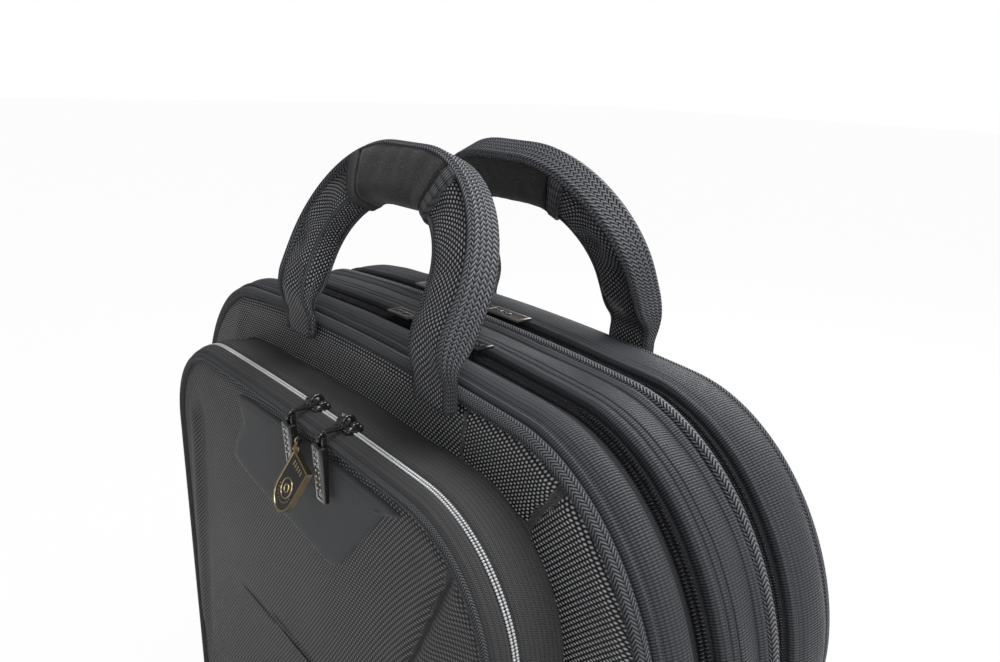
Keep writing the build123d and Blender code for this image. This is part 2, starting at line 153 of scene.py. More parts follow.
def archOutline(shape, low, closed, step=2.5 * mm):
    # an arched bag outline: leaning sides, long soft corners, crowned top
    lean = (shape['half'] - shape['halfLow']) / (shape['shoulder'] - shape['floor'])

    def halfAt(z):
        return shape['halfLow'] + lean * (z - shape['floor'])

    def crownAt(x):
        return shape['top'] + shape['crown'] * (1 - (x / shape['half']) ** 2)

    cornerLow = shape['top'] - shape['cornerDown']
    start = halfAt(cornerLow) - shape['cornerAcross']
    right = [(x, crownAt(x)) for x in np.linspace(0, start, 80)]
    drop = crownAt(start + shape['cornerAcross']) - cornerLow
    for turn in np.linspace(0, math.pi / 2, 80)[1:]:
        x = start + shape['cornerAcross'] * math.sin(turn)
        right.append((x, crownAt(x) - drop * (1 - math.cos(turn))))
    radius = shape['footRadius'] if closed else 0
    right += [(halfAt(z), z) for z in np.linspace(cornerLow, low + radius, 60)[1:]]
    if closed:
        base = halfAt(low + radius) - radius
        for turn in np.linspace(0, math.pi / 2, 16)[1:]:
            right.append((base + radius * math.cos(turn), low + radius * (1 - math.sin(turn))))
        right += [(x, low) for x in np.linspace(base, 0, 60)[1:]]
    right = np.array(right)
    left = right[::-1] * [-1, 1]
    whole = np.r_[left[:-1], right]
    whole = evenly(whole, step)
    if closed:
        whole = whole[:-1]
    for _ in range(3):   # eases the joins between arcs
        if closed:
            whole = (np.roll(whole, 1, 0) + 2 * whole + np.roll(whole, -1, 0)) / 4
        else:
            whole[1:-1] = (whole[:-2] + 2 * whole[1:-1] + whole[2:]) / 4
    return lineOf(whole, closed)


def smoothLoop(points, per=4):
    # a closed, rounded section through given points in millimetres
    points = np.asarray(points, float) * mm
    count, out = len(points), []
    for i in range(count):
        a, b, c, d = (points[(i + k) % count] for k in (-1, 0, 1, 2))
        for t in np.arange(per) / per:
            out.append(0.5 * (2 * b + (c - a) * t + (2 * a - 5 * b + 4 * c - d) * t ** 2
                              + (3 * b - a - 3 * c + d) * t ** 3))
    return np.array(out)


def roundLoop(y, height, radius, sides=14):
    turn = np.arange(sides) * 2 * math.pi / sides
    return np.c_[y + radius * np.cos(turn), height + radius * np.sin(turn)]


def gather(z, low=0.022, high=0.066, least=0.15):
    # how full a side strip is: it thins towards the base, where it is sewn in
    return least + (1 - least) * smoothStep(low, high, z)


def runAlong(name, line, section, material, fullness=None, rumple=0, seed=0):
    # cloth swept along a line: section is a closed loop of (front-to-back, outward)
    p, n, s = line['points'], line['outward'], line['length']
    count, sides = len(p), len(section)
    full = np.ones(count) if fullness is None else fullness(p[:, 1])
    heights = section[None, :, 1] * full[:, None]
    verts = np.empty((count, sides, 3))
    verts[:, :, 0] = p[:, None, 0] + n[:, None, 0] * heights
    verts[:, :, 1] = section[None, :, 0]
    verts[:, :, 2] = p[:, None, 1] + n[:, None, 1] * heights
    if rumple:
        for i in range(count):
            for j in range(sides):
                x, y, z = verts[i, j]
                lift = noise.noise(Vector((x * 22 + seed, y * 60, z * 22))) * rumple
                lift += noise.noise(Vector((x * 70, y * 110 + seed, z * 70))) * rumple * 0.35
                verts[i, j, 0] += n[i, 0] * lift
                verts[i, j, 2] += n[i, 1] * lift
    around = np.r_[0, np.cumsum(np.linalg.norm(np.roll(section, -1, 0) - section, axis=1))] / mm
    along = s / mm
    total = along[-1] + np.linalg.norm(p[0] - p[-1]) / mm if line['closed'] else None
    return sweptCloth(name, verts, along, around, material, total)


# shader groups shared by the finishes

def newGroup(name, inputs, outputs):
    group = bpy.data.node_groups.new(name, 'ShaderNodeTree')
    for label, kind, value in inputs:
        socket = group.interface.new_socket(label, in_out='INPUT', socket_type=kind)
        if value is not None:
            socket.default_value = value
    for label, kind in outputs:
        group.interface.new_socket(label, in_out='OUTPUT', socket_type=kind)
    return group, group.nodes.new('NodeGroupInput'), group.nodes.new('NodeGroupOutput')


def calc(tree, operation, *values):
    node = tree.nodes.new('ShaderNodeMath')
    node.operation = operation
    for socket, value in zip(node.inputs, values):
        if isinstance(value, (int, float)):
            socket.default_value = value
        else:
            tree.links.new(value, socket)
    return node.outputs[0]


def blendColour(tree, amount, first, second):
    node = tree.nodes.new('ShaderNodeMix')
    node.data_type = 'RGBA'
    for socket, value in ((node.inputs[0], amount), (node.inputs[6], first), (node.inputs[7], second)):
        if isinstance(value, (int, float)):
            socket.default_value = value
        elif isinstance(value, tuple):
            socket.default_value = (*value, 1)
        else:
            tree.links.new(value, socket)
    return node.outputs[2]


def makeWeaveDots():
    # staggered raised floats of a plain heavy weave
    group, given, out = newGroup('weaveDots', [('Cloth', 'NodeSocketVector', None),
                                               ('Across', 'NodeSocketFloat', 1.6),
                                               ('Along', 'NodeSocketFloat', 0.8)],
                                 [('Raised', 'NodeSocketFloat')])
    split = group.nodes.new('ShaderNodeSeparateXYZ')
    group.links.new(given.outputs['Cloth'], split.inputs[0])
    v = calc(group, 'DIVIDE', split.outputs[1], given.outputs['Along'])
    row = calc(group, 'FLOOR', v)
    fv = calc(group, 'SUBTRACT', calc(group, 'FRACT', v), 0.5)
    shift = calc(group, 'MULTIPLY', calc(group, 'MODULO', calc(group, 'ABSOLUTE', row), 2), 0.5)
    u = calc(group, 'ADD', calc(group, 'DIVIDE', split.outputs[0], given.outputs['Across']), shift)
    fu = calc(group, 'SUBTRACT', calc(group, 'FRACT', u), 0.5)
    reach = calc(group, 'ADD', calc(group, 'MULTIPLY', calc(group, 'MULTIPLY', fu, fu), 8.2),
                 calc(group, 'MULTIPLY', calc(group, 'MULTIPLY', fv, fv), 6.0))
    dome = calc(group, 'SQRT', calc(group, 'MAXIMUM', calc(group, 'SUBTRACT', 1.0, reach), 0.0))
    group.links.new(dome, out.inputs['Raised'])
    return group


def makeRibs():
    # fine ribs across a band, with sewn lines along it
    group, given, out = newGroup('crossRibs', [('Cloth', 'NodeSocketVector', None),
                                               ('Rib', 'NodeSocketFloat', 1.1),
                                               ('Line', 'NodeSocketFloat', 2.6),
                                               ('Line depth', 'NodeSocketFloat', 0.4)],
                                 [('Raised', 'NodeSocketFloat')])
    split = group.nodes.new('ShaderNodeSeparateXYZ')
    group.links.new(given.outputs['Cloth'], split.inputs[0])
    rib = calc(group, 'ABSOLUTE', calc(group, 'SINE', calc(group, 'MULTIPLY',
               calc(group, 'DIVIDE', split.outputs[0], given.outputs['Rib']), math.pi)))
    line = calc(group, 'ABSOLUTE', calc(group, 'SINE', calc(group, 'MULTIPLY',
                calc(group, 'DIVIDE', split.outputs[1], given.outputs['Line']), math.pi)))
    line = calc(group, 'POWER', line, 0.35)
    # the sewn lines sink the ribs, and clothMaterial paints them darker as shade
    cut = calc(group, 'SUBTRACT', 1.0, calc(group, 'MULTIPLY', given.outputs['Line depth'],
               calc(group, 'SUBTRACT', 1.0, line)))
    group.links.new(calc(group, 'MULTIPLY', rib, cut), out.inputs['Raised'])
    return group


def makeChevron():
    # herringbone of a braid or twill: slanting threads that turn back at each column
    group, given, out = newGroup('chevronThreads', [('Cloth', 'NodeSocketVector', None),
                                                    ('Thread', 'NodeSocketFloat', 1.3),
                                                    ('Column', 'NodeSocketFloat', 4.0),
                                                    ('Slant', 'NodeSocketFloat', 1.0)],
                                 [('Raised', 'NodeSocketFloat')])
    split = group.nodes.new('ShaderNodeSeparateXYZ')
    group.links.new(given.outputs['Cloth'], split.inputs[0])
    fold = calc(group, 'ABSOLUTE', calc(group, 'SUBTRACT', calc(group, 'FRACT',
                calc(group, 'DIVIDE', split.outputs[1], given.outputs['Column'])), 0.5))
    shift = calc(group, 'MULTIPLY', calc(group, 'MULTIPLY', fold, given.outputs['Column']),
                 given.outputs['Slant'])
    u = calc(group, 'DIVIDE', calc(group, 'ADD', split.outputs[0], shift), given.outputs['Thread'])
    wave = calc(group, 'ABSOLUTE', calc(group, 'SINE', calc(group, 'MULTIPLY', u, math.pi)))
    # threads sink at each column's turn, and clothMaterial paints the turn darker as shade
    edge = calc(group, 'MINIMUM', calc(group, 'MULTIPLY', fold, 8.0), 1.0)
    fall = calc(group, 'ADD', calc(group, 'MULTIPLY', edge, 0.45), 0.55)
    group.links.new(calc(group, 'MULTIPLY', wave, fall), out.inputs['Raised'])
    return group


def makeCloudiness():
    # slow random unevenness: dye and light dust in the smooth cloths and fittings, uneven strength of the
    # painted highlight in the woven cloths; plus fine fibre noise
    group, given, out = newGroup('clothCloud', [('Place', 'NodeSocketVector', None),
                                                ('Size', 'NodeSocketFloat', 14.0),
                                                ('Fibre', 'NodeSocketFloat', 1600.0)],
                                 [('Cloud', 'NodeSocketFloat'), ('Fibres', 'NodeSocketFloat')])
    for size, detail, label in (('Size', 4, 'Cloud'), ('Fibre', 1, 'Fibres')):
        grain = group.nodes.new('ShaderNodeTexNoise')
        grain.inputs['Detail'].default_value = detail
        group.links.new(given.outputs['Place'], grain.inputs['Vector'])
        group.links.new(given.outputs[size], grain.inputs['Scale'])
        group.links.new(grain.outputs['Fac'], out.inputs[label])
    return group


def makeDust():
    # sparse pale specks
    group, given, out = newGroup('paleSpecks', [('Place', 'NodeSocketVector', None),
                                                ('Size', 'NodeSocketFloat', 900.0),
                                                ('Least', 'NodeSocketFloat', 0.72)],
                                 [('Speck', 'NodeSocketFloat')])
    grain = group.nodes.new('ShaderNodeTexNoise')
    grain.inputs['Detail'].default_value = 2
    group.links.new(given.outputs['Place'], grain.inputs['Vector'])
    group.links.new(given.outputs['Size'], grain.inputs['Scale'])
    over = calc(group, 'SUBTRACT', grain.outputs['Fac'], given.outputs['Least'])
    steep = calc(group, 'MULTIPLY', calc(group, 'MAXIMUM', over, 0.0), 12.0)
    group.links.new(calc(group, 'MINIMUM', steep, 1.0), out.inputs['Speck'])
    return group


groups = {'dots': makeWeaveDots(), 'ribs': makeRibs(), 'chevron': makeChevron(),
          'cloud': makeCloudiness(), 'specks': makeDust()}


def useGroup(tree, group, **values):
    node = tree.nodes.new('ShaderNodeGroup')
    node.node_tree = groups[group]
    for label, value in values.items():
        socket = node.inputs[label.replace('_', ' ')]
        if isinstance(value, (int, float)):
            socket.default_value = value
        else:
            tree.links.new(value, socket)
    return node


def startMaterial(name, roughness, sheen=0, coat=0, metallic=0, specular=0.5):
    material = bpy.data.materials.new(name)
    material.use_nodes = True
    tree = material.node_tree
    shader = tree.nodes['Principled BSDF']
    shader.inputs['Roughness'].default_value = roughness
    shader.inputs['Sheen Weight'].default_value = sheen
    shader.inputs['Sheen Roughness'].default_value = 0.4
    shader.inputs['Coat Weight'].default_value = coat
    shader.inputs['Metallic'].default_value = metallic
    shader.inputs['Specular IOR Level'].default_value = specular
    place = tree.nodes.new('ShaderNodeTexCoord')
    return material, tree, shader, place


def addBump(tree, shader, height, distance, strength=1.0):
    bump = tree.nodes.new('ShaderNodeBump')
    bump.inputs['Strength'].default_value = strength
    bump.inputs['Distance'].default_value = distance
    tree.links.new(height, bump.inputs['Height'])
    tree.links.new(bump.outputs['Normal'], shader.inputs['Normal'])


def clothMaterial(name, pattern, dark, light, depth, roughness=0.75, sheen=0.1, cloud=0.35, specular=0.22,
                  size=14.0, **patternValues):
    # one of the woven patterns: raised threads painted lighter as a highlight, the hollows between them
    # painted darker as shade, the highlight made uneven by a random cloud
    material, tree, shader, place = startMaterial(name, roughness, sheen=sheen, specular=specular)
    cloth = tree.nodes.new('ShaderNodeUVMap')
    cloth.uv_map = 'clothMap'
    weave = useGroup(tree, pattern, Cloth=cloth.outputs[0], **patternValues)
    clouds = useGroup(tree, 'cloud', Place=place.outputs['Object'], Size=size)
    raised = weave.outputs['Raised']
    # painted highlight: raised threads blend from the shaded gap colour towards the lit thread colour
    lit = calc(tree, 'MULTIPLY', calc(tree, 'POWER', raised, 1.6),
               calc(tree, 'ADD', calc(tree, 'MULTIPLY', clouds.outputs['Cloud'], 2 * cloud), 1 - cloud))
    colour = blendColour(tree, lit, dark, light)
    tree.links.new(colour, shader.inputs['Base Color'])
    rough = calc(tree, 'SUBTRACT', roughness + 0.12, calc(tree, 'MULTIPLY', raised, 0.2))
    tree.links.new(rough, shader.inputs['Roughness'])
    height = calc(tree, 'ADD', raised, calc(tree, 'MULTIPLY', clouds.outputs['Fibres'], 0.25))
    addBump(tree, shader, height, depth)
    return material


# the black cloth between raised threads, darkened further as painted shade; each finish's light colour below
# is the painted highlight on its raised threads
shadedGap = (0.0035, 0.0036, 0.0042)   # the dark between raised threads
wovenFinishes = {   # material, pattern, dark and light colour, depth of the weave in metres, and the rest
    'ballistic': ('ballisticNylon', 'dots', shadedGap, (0.46, 0.465, 0.485), 0.00045,
                  {'roughness': 0.42, 'sheen': 0.0, 'specular': 0.4, 'Across': 2.6, 'Along': 1.5}),
    # the same ballistic weave again with a dimmer painted highlight: painted shade on the handles and the
    # pocket face
    'shadedBallisticHandle': ('shadedBallisticHandle', 'dots', shadedGap, (0.34, 0.345, 0.365), 0.0005,
                        {'roughness': 0.42, 'sheen': 0.0, 'specular': 0.4, 'Across': 2.5, 'Along': 1.45}),
    'shadedBallisticPocket': ('shadedBallisticPocket', 'dots', shadedGap, (0.19, 0.193, 0.205), 0.00045,
                        {'roughness': 0.42, 'sheen': 0.0, 'specular': 0.4, 'Across': 2.6, 'Along': 1.5}),
    'band': ('ribbedBand', 'ribs', (0.006, 0.0063, 0.0075), (0.062, 0.067, 0.078), 0.0003,
             {'roughness': 0.48, 'sheen': 0.04, 'Rib': 1.15, 'Line': 2.3, 'Line_depth': 0.75}),
    'piping': ('pipingCloth', 'chevron', shadedGap, (0.13, 0.135, 0.15), 0.0006,
               {'roughness': 0.5, 'sheen': 0.02, 'Thread': 1.7, 'Column': 4.4, 'Slant': 1.0}),
    'finePiping': ('finePiping', 'chevron', shadedGap, (0.10, 0.104, 0.115), 0.0004,
                   {'roughness': 0.5, 'sheen': 0.02, 'Thread': 1.2, 'Column': 2.9, 'Slant': 0.9}),
    'braid': ('chevronBraid', 'chevron', shadedGap, (0.19, 0.195, 0.215), 0.0007,
              {'roughness': 0.48, 'sheen': 0.02, 'Thread': 1.9, 'Column': 4.6, 'Slant': 1.0}),
    'tape': ('twillTape', 'chevron', (0.014, 0.0142, 0.0145), (0.075, 0.075, 0.077), 0.0002,
             {'roughness': 0.7, 'sheen': 0.05, 'Thread': 0.9, 'Column': 2.4, 'Slant': 0.8}),
    'blackTape': ('blackZipTape', 'ribs', (0.004, 0.0042, 0.005), (0.024, 0.025, 0.029), 0.0002,
                  {'roughness': 0.6, 'sheen': 0.03, 'Rib': 0.8, 'Line': 0.9, 'Line_depth': 0.4}),
    'elastic': ('elasticTrim', 'ribs', (0.006, 0.006, 0.007), (0.15, 0.155, 0.165), 0.0005,
                {'roughness': 0.6, 'sheen': 0.05, 'Rib': 1.4, 'Line': 4.5, 'Line_depth': 0.9}),
    'lining': ('greyLining', 'ribs', (0.03, 0.031, 0.034), (0.09, 0.093, 0.10), 0.0001,
               {'roughness': 0.75, 'sheen': 0.05, 'Rib': 0.6, 'Line': 0.6, 'Line_depth': 0.5}),
}
plainFinishes = {   # colour, roughness, clear coat, metal
    'coilBlack': ((0.012, 0.0125, 0.014), 0.2, 0.4, 0.0),
    'coilSilver': ((0.42, 0.43, 0.44), 0.32, 0.2, 0.2),
    'glossBlack': ((0.006, 0.006, 0.0065), 0.14, 0.7, 0.0),
    'plateBlack': ((0.012, 0.012, 0.013), 0.16, 0.8, 0.3),
    'gunmetal': ((0.30, 0.29, 0.27), 0.32, 0.0, 1.0),
    'brightMetal': ((0.75, 0.74, 0.70), 0.2, 0.0, 1.0),
    'antiqueGold': ((0.36, 0.29, 0.17), 0.3, 0.0, 1.0),
    'darkEnamel': ((0.008, 0.007, 0.006), 0.25, 0.5, 0.0),
    'footRubber': ((0.02, 0.02, 0.021), 0.7, 0.0, 0.0),
    'blackBoard': ((0.05, 0.05, 0.05), 0.6, 0.0, 0.0),
}
speckedFinishes = {   # smooth cloths: two ground colours and a speck colour, with their scales
    'patch': {'name': 'softPatch', 'roughness': 0.62, 'sheen': 0.1, 'specular': 0.35,
              'size': 22.0, 'fibre': 1400.0, 'speckSize': 1500.0, 'least': 0.66, 'depth': 0.00012,
              'dark': (0.034, 0.0355, 0.039), 'light': (0.05, 0.052, 0.057), 'speck': (0.09, 0.09, 0.092)},
    'neoprene': {'name': 'neopreneGrip', 'roughness': 0.78, 'sheen': 0.25, 'specular': 0.3,
                 'size': 30.0, 'fibre': 2200.0, 'speckSize': 1300.0, 'least': 0.63, 'depth': 0.0003,
                 'dark': (0.010, 0.010, 0.0105), 'light': (0.02, 0.02, 0.021), 'speck': (0.10, 0.10, 0.10)},
}


def speckedMaterial(look):
    material, tree, shader, place = startMaterial(look['name'], look['roughness'], sheen=look['sheen'],
                                                  specular=look['specular'])
    where = place.outputs['Object']
    clouds = useGroup(tree, 'cloud', Place=where, Size=look['size'], Fibre=look['fibre'])
    specks = useGroup(tree, 'specks', Place=where, Size=look['speckSize'], Least=look['least'])
    base = blendColour(tree, clouds.outputs['Cloud'], look['dark'], look['light'])
    colour = blendColour(tree, specks.outputs['Speck'], base, look['speck'])
    tree.links.new(colour, shader.inputs['Base Color'])
    addBump(tree, shader, clouds.outputs['Fibres'], look['depth'])
    return material


def plainMaterial(name, colour, rough, coat, metal):
    # coils, mouldings, metals and rubber: slightly uneven in colour and gloss
    material, tree, shader, place = startMaterial(name, rough, coat=coat, metallic=metal)
    clouds = useGroup(tree, 'cloud', Place=place.outputs['Object'], Size=60.0, Fibre=900.0)
    worn = tuple(min(1.0, c * 1.4 + 0.003) for c in colour)
    tree.links.new(blendColour(tree, clouds.outputs['Cloud'], colour, worn), shader.inputs['Base Color'])
    uneven = calc(tree, 'MULTIPLY', clouds.outputs['Cloud'], 0.14)
    tree.links.new(calc(tree, 'ADD', rough - 0.06, uneven), shader.inputs['Roughness'])
    addBump(tree, shader, clouds.outputs['Fibres'], 0.00003)
    return material

def makeFinishes():
    made = {}
    for key, (name, pattern, dark, light, depth, rest) in wovenFinishes.items():
        made[key] = clothMaterial(name, pattern, dark, light, depth, **rest)
    for key, look in speckedFinishes.items():
        made[key] = speckedMaterial(look)
    for name, (colour, rough, coat, metal) in plainFinishes.items():
        made[name] = plainMaterial(name, colour, rough, coat, metal)
    return made


finishes = makeFinishes()
print('finishes ready')


# where the bag's lines run, from the fixed frame

pipingRadius = (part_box('front_piping')[1].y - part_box('front_piping')[0].y) / 2
frontLine, rearLine = centreY('front_piping'), centreY('rear_piping')
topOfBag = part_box('front_piping')[1].z - pipingRadius
frontZipLine = (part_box('front_zip_front_coil')[1].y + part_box('front_zip_rear_coil')[0].y) / 2
rearZipLine = (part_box('rear_zip_front_coil')[1].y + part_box('rear_zip_rear_coil')[0].y) / 2
beadLine = centreY('middle_piping')
pocketFront = centreY('pocket_flap_piping')
pocketZipLine = (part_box('pocket_zip_front_coil')[1].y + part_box('pocket_zip_rear_coil')[0].y) / 2
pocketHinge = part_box('pocket_flap_panel')[0].z
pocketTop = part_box('pocket_gusset')[1].z
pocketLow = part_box('pocket_gusset')[0].z
pocketPiping = (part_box('pocket_flap_piping')[1].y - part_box('pocket_flap_piping')[0].y) / 2
# the pocket's face lies this far inside its gusset's outline
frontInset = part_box('pocket_gusset')[1].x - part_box('pocket_flap_piping')[1].x + pocketPiping

bagShape = {'half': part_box('front_panel')[1].x + 0.001, 'halfLow': 0.196, 'shoulder': 0.247, 'floor': 0.0,
            'top': topOfBag - 0.013, 'crown': 0.013, 'cornerAcross': 0.084, 'cornerDown': 0.098,
            'footRadius': 0.016}
pocketShape = {'half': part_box('pocket_gusset')[1].x, 'halfLow': 0.159, 'shoulder': 0.256, 'floor': pocketLow,
               'top': pocketTop - 0.005, 'crown': 0.005, 'cornerAcross': 0.062, 'cornerDown': 0.056,
               'footRadius': 0.016}

stripLow, panelFoot = 0.022, 0.026   # where the side strips and the panels end
bagOpen = archOutline(bagShape, stripLow, closed=False)
bagClosed = archOutline(bagShape, panelFoot, closed=True)
faceShape = dict(pocketShape, footRadius=0.012)
for edge in ('half', 'halfLow', 'top', 'cornerAcross', 'cornerDown'):
    faceShape[edge] = pocketShape[edge] - frontInset
pocketOpen = archOutline(pocketShape, pocketHinge + 0.002, closed=False)
faceClosed = archOutline(faceShape, pocketLow + frontInset, closed=True)
pocketClosed = archOutline(pocketShape, pocketLow, closed=True)


panelFold = (0.026, 0.042)    # fold heights handed to bendOn with each hinged cloth
bandFold = (0.024, 0.05)
pocketFold = (0.074, 0.094)
backing = 0.002               # how far a padded face's back lies behind its edge


def hangOn(piece, body, slotName, *nodes):
    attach(piece, body)
    if nodes:
        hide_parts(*nodes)


def bendOn(piece, first, second, fold, slotName, *nodes):
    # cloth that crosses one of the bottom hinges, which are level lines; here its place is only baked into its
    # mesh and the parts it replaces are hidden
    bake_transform(piece)
    if nodes:
        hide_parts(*nodes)


# padded faces: rings of an outline drawn in towards a level middle line

def paddedFace(name, line, facing, where, behind, rings, middle, reach, standOut, weaveRuns, material,
               inset=0.001):
    # a closed padded panel facing -1 (front) or +1 (rear): its rings run in from the outline
    # to a level line at height middle, reach wide each way; standOut gives how far the face
    # stands out from where, weaveRuns the weave's own coordinates in millimetres
    edge = line['points'] - line['outward'] * inset
    count = len(edge)
    halfWide = np.abs(edge[:, 0]).max()
    inner = np.c_[edge[:, 0] / halfWide * reach, np.full(count, middle)]
    t = (np.arange(rings) / (rings - 1)) ** 1.1 * 0.985
    flat = (edge[None] * (1 - t[:, None, None]) + inner[None] * t[:, None, None]).reshape(-1, 2)
    lift = standOut(flat[:, 0], flat[:, 1], edgeDistance(flat, edge))
    face = np.c_[flat[:, 0], where + facing * lift, flat[:, 1]]
    rear = np.c_[edge[:, 0], np.full(count, where - facing * behind), edge[:, 1]]
    cloth = np.r_[weaveRuns(flat[:, 0], flat[:, 1]), rear[:, [0, 2]] / mm]
    faces = []
    for row in range(rings - 1):
        faces += ringFaces(row * count, (row + 1) * count, count)
    last = (rings - 1) * count
    half = count // 2
    for i in range(half - 1):   # closes the narrow slot left along the middle
        a, b = last + i, last + count - 1 - i
        faces.append((a, a + 1, b - 1, b))
    start = rings * count
    faces += ringFaces(0, start, count)
    faces.append(tuple(start + i for i in range(count)))
    return clothPiece(name, np.r_[face, rear], faces, cloth, material)


def edgeDistance(points, edge):
    # distance of each point to an outline
    best = np.full(len(points), 1e9)
    for start in range(0, len(points), 4000):
        part = points[start:start + 4000]
        best[start:start + 4000] = np.sqrt(((part[:, None] - edge[None]) ** 2).sum(2)).min(1)
    return best


def alongSeam(x, z, first, second):
    # distance from a straight seam and how far along it, 0 to 1
    first, second = np.array(first) * mm, np.array(second) * mm
    run = second - first
    t = np.clip(((x - first[0]) * run[0] + (z - first[1]) * run[1]) / (run @ run), 0, 1)
    return np.hypot(x - first[0] - t * run[0], z - first[1] - t * run[1]), t


def sideOf(x, z, first, second):
    # positive on the right of a seam walked from first to second
    first, second = np.array(first) * mm, np.array(second) * mm
    run = (second - first) / np.linalg.norm(second - first)
    return (x - first[0]) * run[1] - (z - first[1]) * run[0]


def near(distance, width):
    # 1 on a seam or crease, falling softly to 0 within about two widths
    return np.exp(-(distance / width) ** 2)


def turnedWeave(u, v, degrees, over):
    # the weave's coordinates, turned where over is 1
    turn = math.radians(degrees)
    tu, tv = u * math.cos(turn) - v * math.sin(turn), u * math.sin(turn) + v * math.cos(turn)
    return np.c_[u + (tu - u) * over, v + (tv - v) * over]


def swell(x, z, halfWide, low, high, ease=0.1):
    # 0 at a padded face's edges, rising smoothly to 1 in its middle
    return (np.clip(1 - (x / halfWide) ** 2, 0, 1) ** 0.7 * smoothStep(low, low + ease, z)
            * smoothStep(-high, -high + ease, -z))


def cloudAt(x, z, scale, seed):
    return np.array([noise.noise(Vector((a * scale, b * scale, seed))) for a, b in zip(x, z)])


# main front and rear panels

mainPanel = {'edgeRoll': 7, 'stand': 3.4, 'crown': 4.5, 'rearCrown': 5.5, 'middle': 0.185, 'reach': 0.1,
             'dart': ((168, 338), (133, 292)), 'dartDepth': 1.6, 'dartTurn': -32,
             'crease': ((-136, 338), (-160, 300)), 'creaseDepth': 1.8,
             'channels': (0.118, 0.232), 'channelDepth': 1.7}


def makeMainPanels():
    size = mainPanel

    def padding(x, z, inside, crown):
        out = size['stand'] * smoothStep(0, size['edgeRoll'] * mm, inside)
        return out + crown * swell(x, z, bagShape['half'], 0.03, topOfBag)

    def frontOut(x, z, inside):
        out = padding(x, z, inside, size['crown'])
        d, t = alongSeam(x, z, *size['dart'])
        out -= size['dartDepth'] * near(d, 0.0035) * (1 - smoothStep(0.75, 1.0, t))
        out += 0.9 * near(d - 0.008, 0.005) * (1 - t)   # cloth stands up beside the dart
        d, t = alongSeam(x, z, *size['crease'])
        rise = np.sin(math.pi * np.clip(t, 0.05, 0.95))   # highest half way along the crease
        out += size['creaseDepth'] * near(d, 0.006) * rise
        out += 0.7 * cloudAt(x, z, 14, 3.0) * smoothStep(0, 0.015, inside)
        return out * mm

    def weaveRuns(x, z):
        u, v = x / mm, z / mm
        v = v + 0.00042 * (u ** 2) * smoothStep(0.2, 0.34, z)   # the cloth follows the crowned top
        over = smoothStep(-0.001, 0.001, sideOf(x, z, *size['dart'])) * (x > 0.1)
        return turnedWeave(u, v, size['dartTurn'], over)

    front = paddedFace('frontPanelCloth', bagClosed, -1, frontLine, backing, 64, size['middle'],
                       size['reach'], frontOut, weaveRuns, finishes['ballistic'])
    bendOn(front, 'root', 'front_section', panelFold, 'ballistic', 'front_panel')

    def rearOut(x, z, inside):
        out = padding(x, z, inside, size['rearCrown'])
        out += 0.8 * cloudAt(x, z, 13, 8.0) * smoothStep(0, 0.015, inside)
        for height in size['channels']:   # two sewn channels across the padded back
            out -= size['channelDepth'] * near(z - height, 0.0035) * smoothStep(0.004, 0.03, inside)
        return out * mm

    rear = paddedFace('rearPanelCloth', bagClosed, 1, rearLine, backing, 56, size['middle'], size['reach'],
                      rearOut, lambda x, z: np.c_[-x / mm, z / mm], finishes['ballistic'])
    bendOn(rear, 'root', 'rear_section', panelFold, 'ballistic', 'rear_panel')


# piping round the panels, the belt of bands between them, and the zip tapes

bandSections = {   # round each band in millimetres: back from the bag's middle, out from its outline
    'frontBand': [(-54.6, -1.2), (-54.2, 2.2), (-52.9, 4.6), (-51.2, 5.0), (-50.2, 3.9), (-49.0, 4.6),
                  (-46, 6.4), (-42, 7.2), (-38, 6.6), (-35.4, 5.2), (-34.2, 3.4), (-34.6, 1.4), (-38, 0.8),
                  (-46, 0.4)],
    'middleBand': [(-20.4, 1.6), (-21.4, 3.6), (-20.8, 6.0), (-19.0, 7.4), (-16.8, 7.6), (-15.6, 6.9),
                   (-14.4, 7.6), (-12.6, 7.8), (-11.4, 7.1), (-10.2, 7.7), (-6, 7.4), (-1, 6.4), (1.6, 5.6),
                   (3.0, 6.4), (5.6, 6.9), (7.6, 6.0), (8.6, 4.2), (8.4, 1.6), (2, 1.2), (-10, 1.2)],
    'rearBand': [(25.8, 1.6), (25.0, 3.8), (25.8, 6.0), (27.8, 6.8), (29.4, 6.0), (30.6, 6.3), (34, 7.2),
                 (40, 7.4), (46, 6.8), (50, 5.4), (53.0, 3.2), (54.4, 0.6), (54.0, -1.2), (44, 0.4),
                 (32, 0.8)],
}
tapeHeight = 2.4
tapeSections = {   # from and to, back from the bag's middle in millimetres, and the section named to bendOn, None for a tape hung on the middle hoop
    'frontTape': (-35.5, -27.15, 'front_section'), 'middleTapeFront': (-26.85, -19.6, None),
    'middleTapeRear': (14.2, 19.85, None), 'rearTape': (20.15, 26.6, 'rear_section'),
}


def flatStrip(low, high, height, thick=0.8):
    middle = (low + high) / 2
    return smoothLoop([(low, height - thick), (low, height), (middle, height + 0.1), (high, height),
                       (high, height - thick), (middle, height - thick)], 2)


